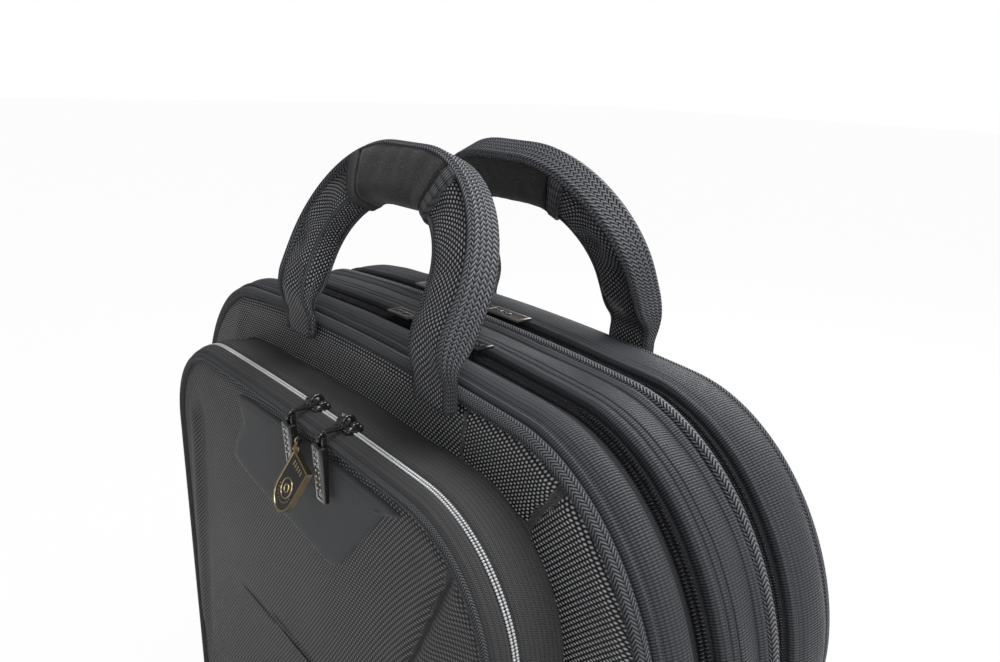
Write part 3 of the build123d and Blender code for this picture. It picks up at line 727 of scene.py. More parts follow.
def makeBelt():
    for end, y in (('front', frontLine), ('rear', rearLine)):
        piping = runAlong(end + 'PipingCloth', bagClosed, roundLoop(y, 0.0, pipingRadius + 0.0004),
                          finishes['piping'])
        bendOn(piping, 'root', end + '_section', panelFold, 'ballistic', end + '_piping')
    for end in ('front', 'rear'):
        name = end + 'Band'
        band = runAlong(name + 'Cloth', bagOpen, smoothLoop(bandSections[name]), finishes['band'], gather,
                        rumple=0.0007, seed=len(name))
        bendOn(band, 'root', end + '_section', bandFold, 'ribbed_band', end + '_band')
    band = runAlong('middleBandCloth', bagOpen, smoothLoop(bandSections['middleBand']), finishes['band'],
                    gather, rumple=0.0009, seed=5)
    hangOn(band, 'root', 'ribbed_band', 'middle_band')
    bead = runAlong('middleBraid', bagOpen, roundLoop(beadLine, 0.0048, 0.0027), finishes['braid'], gather)
    hangOn(bead, 'root', 'braid', 'middle_piping')
    for name, (low, high, section) in tapeSections.items():
        tape = runAlong(name, bagOpen, flatStrip(low, high, tapeHeight), finishes['blackTape'], gather)
        if section:
            bendOn(tape, 'root', section, bandFold, 'black_coil')
        else:
            hangOn(tape, 'root', 'black_coil')
    print('belt of bands ready')


# zip chains: one tooth modelled, then set along the zip's line

chains = {
    'mainChain': {'width': 3.1, 'height': 2.0, 'pitch': 1.45, 'fill': 0.72},
    'rearChain': {'width': 2.2, 'height': 1.6, 'pitch': 1.15, 'fill': 0.72},
    'pocketChain': {'width': 1.35, 'height': 1.1, 'pitch': 1.3, 'fill': 0.86},
}
chainHeight = 2.3   # a main chain's underside above the bag's outline


def modelTooth(size):
    deselectAll()
    bpy.ops.mesh.primitive_cube_add(size=1, location=(0, 0, 0))
    tooth = bpy.context.object
    bpy.ops.object.mode_set(mode='EDIT')
    bpy.ops.mesh.select_all(action='SELECT')
    length = size['pitch'] * size['fill']
    bpy.ops.transform.resize(value=(length * mm, size['width'] * mm, size['height'] * mm))
    bpy.ops.mesh.bevel(offset=size['height'] * 0.3 * mm, segments=1, affect='EDGES')
    bpy.ops.object.mode_set(mode='OBJECT')
    points = np.array([v.co for v in tooth.data.vertices])
    faces = [tuple(f.vertices) for f in tooth.data.polygons]
    bpy.data.objects.remove(tooth)
    return points, faces


def layTeeth(name, line, y, height, size, material, low=0.0, fullness=None, shift=0.0):
    # teeth one pitch apart along a line; height is the chain's underside above the line
    template, templateFaces = modelTooth(size)
    p, n, s = line['points'], line['outward'], line['length']
    places = np.arange(size['pitch'] * mm * (0.5 + shift), s[-1], size['pitch'] * mm)
    x, z = np.interp(places, s, p[:, 0]), np.interp(places, s, p[:, 1])
    nx, nz = np.interp(places, s, n[:, 0]), np.interp(places, s, n[:, 1])
    keep = z > low
    x, z, nx, nz = x[keep], z[keep], nx[keep], nz[keep]
    rise = (height + size['height'] / 2) * mm * (np.ones(len(x)) if fullness is None else fullness(z))
    verts, faces = [], []
    for i in range(len(x)):
        outward, along = np.array([nx[i], 0, nz[i]]), np.array([nz[i], 0, -nx[i]])
        base = np.array([x[i], y, z[i]]) + outward * rise[i]
        verts.append(base + template[:, :1] * along + template[:, 1:2] * np.array([0, 1, 0])
                     + template[:, 2:] * outward)
        faces += [tuple(v + i * len(template) for v in face) for face in templateFaces]
    verts = np.concatenate(verts)
    return clothPiece(name, verts, faces, verts[:, [0, 2]] / mm, material)


def makeMainZips():
    # each zip's outer row goes to bendOn with its section's name, its inner row stays on the middle hoop
    for zone, y, size, swings in (('front', frontZipLine, chains['mainChain'], -1),
                                  ('rear', rearZipLine, chains['rearChain'], 1)):
        for side, facing in (('Front', -1), ('Rear', 1)):
            rowY = y + facing * (size['width'] / 2 + 0.1) * mm
            row = layTeeth(f'{zone}Zip{side}Teeth', bagOpen, rowY, chainHeight, size, finishes['coilBlack'],
                           low=0.03, fullness=gather, shift=0.5 * (facing > 0))
            node = f'{zone}_zip_{side.lower()}_coil'
            if facing == swings:
                bendOn(row, 'root', zone + '_section', bandFold, 'black_coil', node)
            else:
                hangOn(row, 'root', 'black_coil', node)
    print('main zips ready')


# front pocket: padded face with its smooth patch, piping, twill tapes and silver zip

pocketFace = {'edgeRoll': 6, 'stand': 1.0, 'crown': 1.4,
              'middle': 0.18, 'reach': 0.08, 'dartTurn': 24,
              'ridge': ((-141, 262), (-152, 110)), 'ridgeDepth': 2.0,
              'dart': ((140, 293), (110, 232)), 'dartDepth': 1.8}
patchEdge = [(-54, 306), (-60, 288), (-73, 270), (-64, 260), (28, 252.5), (42, 251), (53, 256), (68, 272),
             (82, 288), (91, 298), (96, 306)]


def pocketStandOut(x, z, inside):
    out = pocketFace['stand'] * smoothStep(0, pocketFace['edgeRoll'] * mm, inside)
    out = out + pocketFace['crown'] * swell(x, z, faceShape['half'], pocketLow, pocketTop)
    d, t = alongSeam(x, z, *pocketFace['ridge'])
    side = sideOf(x, z, *pocketFace['ridge'])
    out += pocketFace['ridgeDepth'] * near(d, 0.006) * (1 - 0.6 * t)
    out -= 1.3 * near(side + 0.012, 0.007) * (d < 0.03) * smoothStep(0.03, 0.015, d)
    d, t = alongSeam(x, z, *pocketFace['dart'])
    out -= pocketFace['dartDepth'] * near(d, 0.003)
    out += 1.1 * near(d - 0.008, 0.005) * (1 - 0.5 * t)
    out += 0.6 * cloudAt(x, z, 16, 5.0) * smoothStep(0, 0.015, inside)
    return out * mm


def makePocket():
    def weaveRuns(x, z):
        u, v = x / mm, z / mm
        v = v + 10 * (near(x + 0.11, 0.05) * smoothStep(0.14, 0.30, z))   # lifted at the left,
        v = v - 12 * (near(x - 0.09, 0.05) * smoothStep(0.12, 0.28, z))   # drawn down at the right
        side = sideOf(x, z, *pocketFace['dart'])
        return turnedWeave(u, v, pocketFace['dartTurn'], smoothStep(-0.001, 0.001, -side))

    face = paddedFace('pocketFaceCloth', faceClosed, -1, pocketFront, backing, 60, pocketFace['middle'],
                      pocketFace['reach'], pocketStandOut, weaveRuns, finishes['shadedBallisticPocket'])
    bendOn(face, 'front_section', 'pocket_flap', pocketFold, 'ballistic', 'pocket_flap_panel', 'pocket_tray')
    piping = runAlong('pocketPipingCloth', faceClosed, roundLoop(pocketFront, 0.0, pocketPiping),
                      finishes['finePiping'])
    bendOn(piping, 'front_section', 'pocket_flap', pocketFold, 'ballistic', 'pocket_flap_piping')

    zipY, faceY = pocketZipLine / mm, pocketFront / mm
    drop = frontInset / mm   # the tape falls from the zip to the face's smaller outline
    frontTape = smoothLoop([(faceY, -drop - 1.4), (faceY - 0.6, -drop + 1.6), (faceY + 0.8, -drop + 3.9),
                            (zipY - 6.2, -0.4), (zipY - 3.6, 0.8), (zipY - 1.9, 0.5), (zipY - 0.2, 0.2),
                            (zipY - 0.2, -1.0), (zipY - 3, -1.4), (zipY - 6, -2.6),
                            (faceY + 1.6, -drop + 0.6), (faceY + 1.4, -drop - 1.4)], 3)
    tape = runAlong('pocketFrontTape', pocketClosed, frontTape, finishes['tape'], rumple=0.0003, seed=2)
    bendOn(tape, 'front_section', 'pocket_flap', pocketFold, 'twill_tape', 'pocket_flap_band')
    panelY = frontLine / mm - mainPanel['stand']
    backTape = smoothLoop([(zipY + 0.2, -1.0), (zipY + 0.2, 0.3), (zipY + 2.4, 0.5), (zipY + 3.4, 1.5),
                           (zipY + 7, 2.0), (zipY + 14, 1.6), (panelY - 3, 0.8), (panelY + 2.4, -0.2),
                           (panelY + 2.4, -2.4), (zipY + 12, -1.8), (zipY + 5, -1.6)], 3)
    tape = runAlong('pocketBackTape', pocketClosed, backTape, finishes['tape'], rumple=0.0005, seed=9)
    hangOn(tape, 'front_section', 'twill_tape', 'pocket_gusset')

    size = chains['pocketChain']
    for side, facing, node in (('Front', -1, 'pocket_zip_front_coil'), ('Rear', 1, 'pocket_zip_rear_coil')):
        rowY = pocketZipLine + facing * (size['width'] / 2 + 0.2) * mm
        row = layTeeth('pocketZip' + side + 'Teeth', pocketOpen, rowY, 0.3, size, finishes['coilSilver'],
                       low=pocketHinge + 0.004)
        hangOn(row, 'pocket_flap' if facing < 0 else 'front_section', 'silver_coil', node)
    cord = runAlong('pocketBaseSeam', pocketClosed, roundLoop(frontLine - 0.0036, 0.0006, 0.0012, 8),
                    finishes['tape'])
    hangOn(cord, 'front_section', 'twill_tape')
    print('pocket ready')


def makePatch():
    # smooth shield let into the top of the pocket's face
    outline = smoothLoop(patchEdge, 8)
    edge = evenly(np.r_[outline, [outline[0]]], 0.0018)[:-1]
    middle = edge.mean(0)
    rings, count = 26, len(edge)
    t = (np.arange(rings) / rings) ** 0.8
    flat = (edge[None] * (1 - t[:, None, None]) + middle[None, None] * t[:, None, None]).reshape(-1, 2)
    boundary = faceClosed['points'] - faceClosed['outward'] * 0.001
    base = pocketStandOut(flat[:, 0], flat[:, 1], edgeDistance(flat, boundary))
    inside = edgeDistance(flat, edge)
    stitched = near(inside - 0.0034, 0.0008)   # the sewn line inside the patch's edge
    lift = base + (0.2 + 1.0 * smoothStep(0, 0.0016, inside) - 0.35 * stitched) * mm
    face = np.c_[flat[:, 0], pocketFront - lift, flat[:, 1]]
    back = np.c_[edge[:, 0], pocketFront - base[:count] + 0.0006, edge[:, 1]]
    faces = []
    for row in range(rings - 1):
        faces += ringFaces(row * count, (row + 1) * count, count)
    last, start = (rings - 1) * count, rings * count
    faces.append(tuple(last + i for i in range(count)))
    faces += ringFaces(0, start, count)
    faces.append(tuple(start + i for i in range(count)))
    points = np.r_[face, back]
    patch = clothPiece('pocketPatchCloth', points, faces, points[:, [0, 2]] / mm, finishes['patch'])
    hangOn(patch, 'pocket_flap', 'smooth_patch', 'pocket_patch')


# arch handles: padded core, ribbed spine, folded seams, sleeve grip with its trims

handleSize = {'centre': 16, 'halfWide': 65, 'rise': 88, 'corner': 51, 'bar': 26, 'thick': 18, 'foot': 12,
              'footThick': 5.6, 'lean': 24, 'bow': 1.0, 'gripHalf': 36, 'trim': 8.5}
handleDents = {   # (share of the way round, out from the middle of the bar mm, depth mm, half length mm)
    'front': [(0.10, -6, 3.0, 9), (0.185, 5, 3.4, 8), (0.255, -2, 2.6, 7), (0.315, 7, 3.0, 7),
              (0.36, -5, 2.4, 5), (0.655, -6, 2.2, 6), (0.70, 4, 1.2, 9), (0.93, 3, 2.2, 9)],
    'rear': [(0.08, 4, 2.6, 9), (0.17, -5, 3.0, 8), (0.27, 4, 2.6, 8), (0.62, -4, 3.2, 7), (0.68, 6, 3.0, 7),
             (0.745, -5, 3.4, 8), (0.82, 4, 3.0, 8), (0.90, -4, 2.6, 8)],
}


def handlePath():
    # centre line in the handle's own plane, from the left stitched end to the right one
    size = handleSize
    half, rise, corner = size['halfWide'], size['rise'], size['corner']
    points = [(-half, w) for w in np.linspace(-size['foot'], rise - corner, 40)]
    for turn in np.linspace(0, math.pi / 2, 30)[1:]:
        points.append((-half + corner * (1 - math.cos(turn)), rise - corner + corner * math.sin(turn)))
    points += [(x, rise) for x in np.linspace(-half + corner, 0, 12)[1:]]
    left = np.array(points)
    bowed = np.sin(np.clip(left[:, 1] / rise, 0, 1) * math.pi) * smoothStep(0, 10, left[:, 1])
    left[:, 0] -= size['bow'] * bowed
    right = left[::-1] * [-1, 1]
    path = evenly(np.r_[left, right[1:]] * mm, 0.0022)
    for _ in range(3):
        path[1:-1] = (path[:-2] + 2 * path[1:-1] + path[2:]) / 4
    return lineOf(path)


def onHandle(side, across, up, depth):
    # a place on a leaning handle: across and up in its plane, depth out of its outer face
    size = handleSize
    lean = math.radians(size['lean'])
    axis, hinge = handleAxis[side]
    up, depth = np.asarray(up, float), np.asarray(depth, float)
    amount = smoothStep(-0.002, 0.018, up)
    footY = abs(frontLine) + 0.0068
    leanY, leanZ = abs(axis) - up * math.sin(lean), hinge + up * math.cos(lean)
    y = footY + (leanY - footY) * amount + depth * (1 + (math.cos(lean) - 1) * amount)
    z = hinge + up + (leanZ - hinge - up) * amount + depth * math.sin(lean) * amount
    return np.stack([np.broadcast_to(across, y.shape), (-1 if side == 'front' else 1) * y, z], -1)


handleAxis = {side: (centreY(side + '_handle_feet') + (-1 if side == 'front' else 1) * 0.0068,
                     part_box(side + '_handle_feet')[1].z + 0.0004) for side in ('front', 'rear')}


def thickAt(up):
    size = handleSize
    return (size['footThick'] + (size['thick'] - size['footThick']) * smoothStep(-0.002, 0.024, up)) * mm


def handleRun(name, side, section, material, low=None, high=None, grow=0.0, rumple=0.0, seed=0, dents=()):
    # cloth swept round a handle; section is a closed loop of (outward in the plane, out of the
    # face), the second as a share of half the thickness; low and high keep a part of the way round
    line = handlePath()
    p, n, s = line['points'], line['outward'], line['length']
    whole = s[-1]
    if low is not None:
        keep = (s >= low - 1e-9) & (s <= high + 1e-9)
        p, n, s = p[keep], n[keep], s[keep]
    count, sides = len(p), len(section)
    half = thickAt(p[:, 1]) / 2 + grow
    across = handleSize['centre'] * mm + p[:, None, 0] + n[:, None, 0] * section[None, :, 0]
    up = p[:, None, 1] + n[:, None, 1] * section[None, :, 0]
    depth = section[None, :, 1] * half[:, None]
    if rumple:
        for i in range(count):
            for j in range(sides):
                lift = noise.noise(Vector((s[i] * 95 + seed, section[j, 0] * 60, section[j, 1] * 1.5)))
                fine = Vector((s[i] * 210 + seed, section[j, 0] * 90, section[j, 1] * 2.5))
                lift += 0.6 * noise.noise(fine)
                depth[i, j] += np.sign(section[j, 1]) * lift * rumple
    for share, out, deep, long in dents:   # the puckers where the padding was turned
        pucker = np.exp(-((s[:, None] - share * whole) / (long * mm)) ** 2
                        - ((section[None, :, 0] - out * mm) / 0.0065) ** 2)
        depth -= np.sign(depth) * np.minimum(deep * mm * pucker, np.abs(depth) * 0.7)
    verts = onHandle(side, across, up, depth)
    real = section * [1, handleSize['thick'] * mm / 2]
    sides = np.linalg.norm(np.roll(real, -1, 0) - real, axis=1)
    return sweptCloth(name, verts, s / mm, np.r_[0, np.cumsum(sides)] / mm, material)


def pillowLoop(half, power, sides=44):
    turn = np.arange(sides) * 2 * math.pi / sides
    c, w = np.cos(turn), np.sin(turn)
    return np.c_[half * np.sign(c) * np.abs(c) ** (2 / power), np.sign(w) * np.abs(w) ** (2 / power)]


def makeHandle(side):
    body, section = side + '_handle', side + '_section'
    halfBar = handleSize['bar'] / 2 * mm

    def bend(piece, slotName, *nodes):
        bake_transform(piece)
        if nodes:
            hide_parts(*nodes)

    core = handleRun(side + 'HandleCloth', side, pillowLoop(halfBar, 3.4, 72), finishes['shadedBallisticHandle'],
                     rumple=0.0009, seed=3 if side == 'front' else 11, dents=handleDents[side])
    bend(core, 'ballistic', side + '_handle_core', side + '_handle_feet')
    spine = []
    for k in range(5):   # five padded ribs side by side
        centre = -0.72 + 0.36 * k
        for a in (-0.17, -0.08, 0.0, 0.08, 0.17):
            spine.append((halfBar + 0.0008 + 0.0016 * (1 - (a / 0.19) ** 2), centre + a))
    spine += [(halfBar - 0.0012, 0.86), (halfBar - 0.0016, 0), (halfBar - 0.0012, -0.86)]
    piece = handleRun(side + 'HandleSpine', side, np.array(spine), finishes['braid'])
    bend(piece, 'braid', side + '_handle_spine')
    seamRadius = 0.0012
    outer, inner = halfBar - 0.0006, -halfBar + 0.0009
    for label, across, depth in (('OuterFace', outer, 0.93), ('OuterBack', outer, -0.93),
                                 ('InnerFace', inner, 0.72), ('InnerBack', inner, -0.72)):
        turn = np.arange(8) * 2 * math.pi / 8
        flat = seamRadius / (handleSize['thick'] / 2 * mm)
        loop = np.c_[across + seamRadius * np.cos(turn), depth + flat * np.sin(turn)]
        seam = handleRun(side + 'Seam' + label, side, loop, finishes['piping'])
        bend(seam, 'ballistic')
    total = handlePath()['length'][-1]
    grip = handleSize['gripHalf'] * mm

    def underSpine(grow):
        # a sleeve's section: round the face, the underside and the back, open below the spine
        loop = pillowLoop(halfBar + grow, 3.6)
        loop[:, 0] = np.minimum(loop[:, 0], halfBar - 0.0008)
        return loop

    sleeve = handleRun(side + 'GripSleeve', side, underSpine(0.0022), finishes['neoprene'],
                       low=total / 2 - grip, high=total / 2 + grip, grow=0.0014, rumple=0.0004, seed=4)
    hangOn(sleeve, body, 'neoprene', side + '_handle_grip')
    trim = handleSize['trim'] * mm
    for label, low, finish, nodes in (('Left', total / 2 - grip - trim, 'tape', (side + '_handle_trims',)),
                                      ('Right', total / 2 + grip, 'elastic', ())):
        band = handleRun(side + label + 'GripTrim', side, underSpine(0.0030), finishes[finish],
                         low=low, high=low + trim, grow=0.0021)
        hangOn(band, body, 'elastic_trim', *nodes)
    print(side, 'handle ready')


# base: a sewn boot that the sides are tucked into

bootSize = {'overTray': 0.0035, 'overPanel': 0.0045, 'corner': 0.012,
            # (inset, height) in millimetres: under the tray, up the outside, over the rim and down inside
            'profile': [(14, 4.2), (7, 4.4), (2.6, 6.2), (0.5, 9.6), (0, 14), (0.2, 24), (0.6, 31), (1.6, 33),
                        (3.4, 33), (4.4, 31), (4.6, 12), (9, 7.4), (16, 6.6)]}


def makeBase():
    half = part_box('base_tray')[1].x + bootSize['overTray']
    depth = abs(frontLine) + bootSize['overPanel']
    ring = []
    radius = bootSize['corner']
    for cx, cy, start in ((half - radius, depth - radius, 0), (-half + radius, depth - radius, 90),
                          (-half + radius, -depth + radius, 180), (half - radius, -depth + radius, 270)):
        for turn in np.radians(np.linspace(start, start + 90, 10)):
            ring.append((cx + radius * math.cos(turn), cy + radius * math.sin(turn)))
    ring = evenly(np.r_[ring, [ring[0]]], 0.004)[:-1]
    profile = bootSize['profile']
    verts, cloth = [], []
    count = len(ring)
    lengths = np.r_[0, np.cumsum(np.linalg.norm(np.diff(ring, axis=0), axis=1))] / mm
    for k, (inset, z) in enumerate(profile):
        corner = np.sign(ring) * np.maximum(np.abs(ring) - inset * mm, 0)
        for i in range(count):
            verts.append((corner[i, 0], corner[i, 1], z * mm))
            cloth.append((lengths[i], z if k < 8 else 80 - z))
    faces = []
    for row in range(len(profile) - 1):
        faces += ringFaces(row * count, (row + 1) * count, count)
    faces.append(tuple(range(count)))
    top = (len(profile) - 1) * count
    faces.append(tuple(top + i for i in range(count)))
    boot = clothPiece('baseBoot', verts, faces, cloth, finishes['ballistic'])
    hangOn(boot, 'root', 'ballistic', 'base_tray')
    print('base ready')


# small hardware: sliders, tabs, moulded pulls and the charm

def addBlock(size, place, bevel, segments=2):
    # a bevelled block in millimetres, left in object mode
    deselectAll()
    bpy.ops.mesh.primitive_cube_add(size=1, location=(0, 0, 0))
    piece = bpy.context.object
    bpy.ops.object.mode_set(mode='EDIT')
    bpy.ops.mesh.select_all(action='SELECT')
    bpy.ops.transform.resize(value=tuple(v * mm for v in size))
    bpy.ops.mesh.bevel(offset=bevel * mm, segments=segments, affect='EDGES')
    bpy.ops.transform.translate(value=tuple(v * mm for v in place))
    bpy.ops.object.mode_set(mode='OBJECT')
    return piece


aimed = {'x': (0, math.pi / 2, 0), 'y': (math.pi / 2, 0, 0)}   # turns a round thing's axis to X or Y


def addRing(major, minor, place, axis, sides=24, around=10):
    deselectAll()
    bpy.ops.mesh.primitive_torus_add(major_radius=major * mm, minor_radius=minor * mm,
                                     major_segments=sides, minor_segments=around,
                                     location=tuple(v * mm for v in place), rotation=aimed[axis])
    ring = bpy.context.object
    bpy.ops.object.transform_apply(location=True, rotation=True, scale=True)
    return ring


def addRod(radius, length, place, axis, sides=16):
    deselectAll()
    bpy.ops.mesh.primitive_cylinder_add(radius=radius * mm, depth=length * mm, vertices=sides,
                                        location=tuple(v * mm for v in place), rotation=aimed[axis])
    rod = bpy.context.object
    bpy.ops.object.transform_apply(location=True, rotation=True, scale=True)
    pick(rod)
    bpy.ops.object.mode_set(mode='EDIT')
    bpy.ops.mesh.select_all(action='SELECT')
    bpy.ops.mesh.bevel(offset=radius * 0.25 * mm, segments=2, affect='EDGES')
    bpy.ops.object.mode_set(mode='OBJECT')
    return rod


def addBead(radius, place, flat=0.5):
    deselectAll()
    bpy.ops.mesh.primitive_ico_sphere_add(subdivisions=1, radius=radius * mm,
                                          location=tuple(v * mm for v in place))
    bead = bpy.context.object
    bead.scale = (1, flat, 1)
    bpy.ops.object.transform_apply(location=True, rotation=True, scale=True)
    return bead


def chooseFaces(piece, test):
    # edit mode with only the faces that pass the test selected
    pick(piece)
    bpy.ops.object.mode_set(mode='EDIT')
    bpy.ops.mesh.select_mode(type='FACE')
    bpy.ops.mesh.select_all(action='DESELECT')
    bpy.ops.object.mode_set(mode='OBJECT')
    for face in piece.data.polygons:
        face.select = test(face)
    bpy.ops.object.mode_set(mode='EDIT')


def setFace(piece, inset, deep, finish, test):
    # sinks a bordered field into a face and gives it its own finish
    slot = len(piece.data.materials)
    piece.data.materials.append(finishes[finish])
    chooseFaces(piece, test)
    bpy.ops.mesh.inset(thickness=inset * mm, depth=0)
    bpy.ops.mesh.inset(thickness=0.15 * mm, depth=-deep * mm)
    piece.active_material_index = slot
    bpy.ops.object.material_slot_assign()
    bpy.ops.object.mode_set(mode='OBJECT')


def joined(name, pieces, finish):
    for piece in pieces:
        if not piece.data.materials:
            piece.data.materials.append(finishes[finish])
    deselectAll()
    for piece in pieces:
        piece.select_set(True)
    bpy.context.view_layer.objects.active = pieces[0]
    if len(pieces) > 1:
        bpy.ops.object.join()
    whole = bpy.context.object
    whole.name = name
    whole.data.name = name
    bpy.ops.object.shade_smooth_by_angle(angle=math.radians(38))
    return whole


pocketHardware = {'body': (12.5, 9.0, 4.6), 'pull': 9.2, 'dotStep': 3.1, 'fork': 1.3}


def makePocketHardware():
    size = pocketHardware
    for side in ('left', 'right'):
        node = f'pocket_{side}_slider'
        low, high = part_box(node)
        x = (low.x + high.x) / 2 / mm
        ringY = low.y / mm + 2.6
        ringZ = low.z / mm + 2.6
        top = high.z / mm
        zipY = pocketZipLine / mm
        body = addBlock(size['body'], (x, zipY, top - 1.1), 1.7, 3)
        nose = addBlock((5.4, 7.6, 5.4), (x - 5.2, zipY, top - 0.5), 1.9, 3)
        crown = addRing(3.3, 1.05, (x + 0.8, zipY - 1.2, top + 1.4), 'x')
        cap = addBlock((5.0, 4.4, 2.6), (x + 3.8, zipY, top + 1.4), 1.0, 3)
        neck = addBlock((3.0, zipY - ringY - 1.0, 2.0), (x, (zipY + ringY) / 2 + 0.6, top - 0.4), 0.7)
        eye = addRing(1.75, 0.85, (x, ringY, ringZ), 'x')
        slider = joined(f'pocket{side.title()}SliderBody', [body, nose, crown, cap, neck, eye], 'plateBlack')
        hangOn(slider, node, 'dark_metal', node)
        if side == 'right':
            tag = addBlock((6.4, 1.4, 3.0), (x - 8.2, zipY + 2.6, top + 0.4), 0.4)
            bright = joined('pocketSilverTag', [tag], 'brightMetal')
            hangOn(bright, node, 'silver_coil')

        node = f'pocket_{side}_pull'
        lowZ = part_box(node)[0].z / mm
        back = ringY + 1.4
        topZ = ringZ - 3.2
        height = topZ - lowZ
        wedge = addBlock((size['pull'], 4.6, height), (x, back - 2.3, (topZ + lowZ) / 2), 0.9, 2)
        chooseFaces(wedge, lambda face: face.center.z < (lowZ + 1.2) * mm)
        bpy.ops.transform.resize(value=(0.94, 0.6, 1), center_override=(x * mm, back * mm, lowZ * mm))
        bpy.ops.object.mode_set(mode='OBJECT')
        pieces = [wedge]
        wedge.data.materials.append(finishes['glossBlack'])
        setFace(wedge, 1.0, 0.35, 'plateBlack', lambda face: face.normal.y < -0.9 and face.area > 1.0e-4)
        slope = (4.6 - 4.6 * 0.6) / height
        for k in range(int((height - 5) / size['dotStep'])):
            z = topZ - 3.4 - k * size['dotStep']
            face = back - 4.6 + slope * (topZ - z) - 0.02
            for across in (-1.6, 1.6):
                bead = addBead(0.62, (x + across, face, z), 0.6)
                bead.data.materials.append(finishes['brightMetal'])
                pieces.append(bead)
        for way in (-1, 1):
            pieces.append(addBlock((size['fork'], 2.6, 5.6), (x + way * 2.5, ringY, ringZ - 1.6), 0.4))
        pieces.append(addRod(0.7, 6.2, (x, ringY, ringZ), 'x'))
        pull = joined(f'pocket{side.title()}PullMoulding', pieces, 'glossBlack')
        hangOn(pull, node, 'moulded_rubber', node)
    print('pocket hardware ready')


charmSize = {'wide': 19, 'long': 28, 'thick': 3, 'offset': 13, 'drop': 3.2, 'tilt': 18, 'lean': 22,
             'pinHead': 0.8 + 0.3 + 1.5}


def makeCharm():
    size = charmSize
    half = size['wide'] / 2
    pinLow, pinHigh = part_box('medallion_pin')
    lugX = pinHigh.x - size['pinHead'] * mm   # the lug hangs just inside the pin's head
    lug = Vector((lugX, (pinLow.y + pinHigh.y) / 2, (pinLow.z + pinHigh.z) / 2))
    deselectAll()
    bpy.ops.mesh.primitive_cylinder_add(radius=half * mm, depth=size['thick'] * mm, vertices=56,
                                        rotation=(math.pi / 2, 0, 0))
    plate = bpy.context.object
    bpy.ops.object.transform_apply(rotation=True)
    bpy.ops.object.mode_set(mode='EDIT')   # the round's upper half is drawn out to a straight top
    bpy.ops.mesh.select_mode(type='VERT')
    bpy.ops.mesh.select_all(action='DESELECT')
    bpy.ops.object.mode_set(mode='OBJECT')
    for vert in plate.data.vertices:
        vert.select = vert.co.z > 0.2 * mm
    bpy.ops.object.mode_set(mode='EDIT')
    bpy.ops.transform.resize(value=(1, 1, 0), center_override=(0, 0, 0))
    bpy.ops.transform.translate(value=(0, 0, (size['long'] - half) * mm))
    bpy.ops.object.mode_set(mode='OBJECT')
    plate.data.materials.append(finishes['antiqueGold'])
    setFace(plate, 0.8, 0.4, 'darkEnamel', lambda face: face.normal.y < -0.9)
    front = -size['thick'] / 2
    pieces = [plate, addRing(4.9, 0.4, (0, front + 0.35, 2.5), 'y', 32, 6),
              addRing(2.0, 0.45, (0, front + 0.35, 2.5), 'y', 18, 6)]
    for k in range(11):   # plain beads round the foot and a row of bars at the top
        turn = math.radians(188 + k * 16.4)
        pieces.append(addBead(0.5, (6.3 * math.cos(turn), front + 0.3, 1.6 + 6.3 * math.sin(turn)), 0.6))
    for k in range(5):
        pieces.append(addBlock((0.9, 0.5, 2.6), (-4.4 + 2.2 * k, front + 0.3, 14.6), 0.15, 1))
    plate = joined('charmPlate', pieces, 'antiqueGold')
    rise = (size['long'] - half) * mm
    lift = Matrix.Translation((size['offset'] * mm, 0, -size['drop'] * mm - rise))
    turn = Matrix.Rotation(math.radians(size['tilt']), 4, 'Y')
    plate.data.transform(turn @ lift)
    hook = addRing(1.15, 0.55, (0, 0, 0), 'x', 20, 8)
    hanger = addBlock((6.0, 1.1, 2.9), (1.6, 0, -3.9), 0.3)
    stem = addBlock((2.4, 1.1, 2.6), (0, 0, -2.2), 0.3)
    charm = joined('charm', [plate, hook, hanger, stem], 'antiqueGold')
    charm.data.transform(Matrix.Translation(lug) @ Matrix.Rotation(math.radians(-size['lean']), 4, 'X'))
    hangOn(charm, 'medallion', 'antique_gold', 'medallion')
    print('charm ready')


mainHardware = {'body': (13.6, 9.6, 4.4), 'tab': 11.6, 'thick': 1.7}


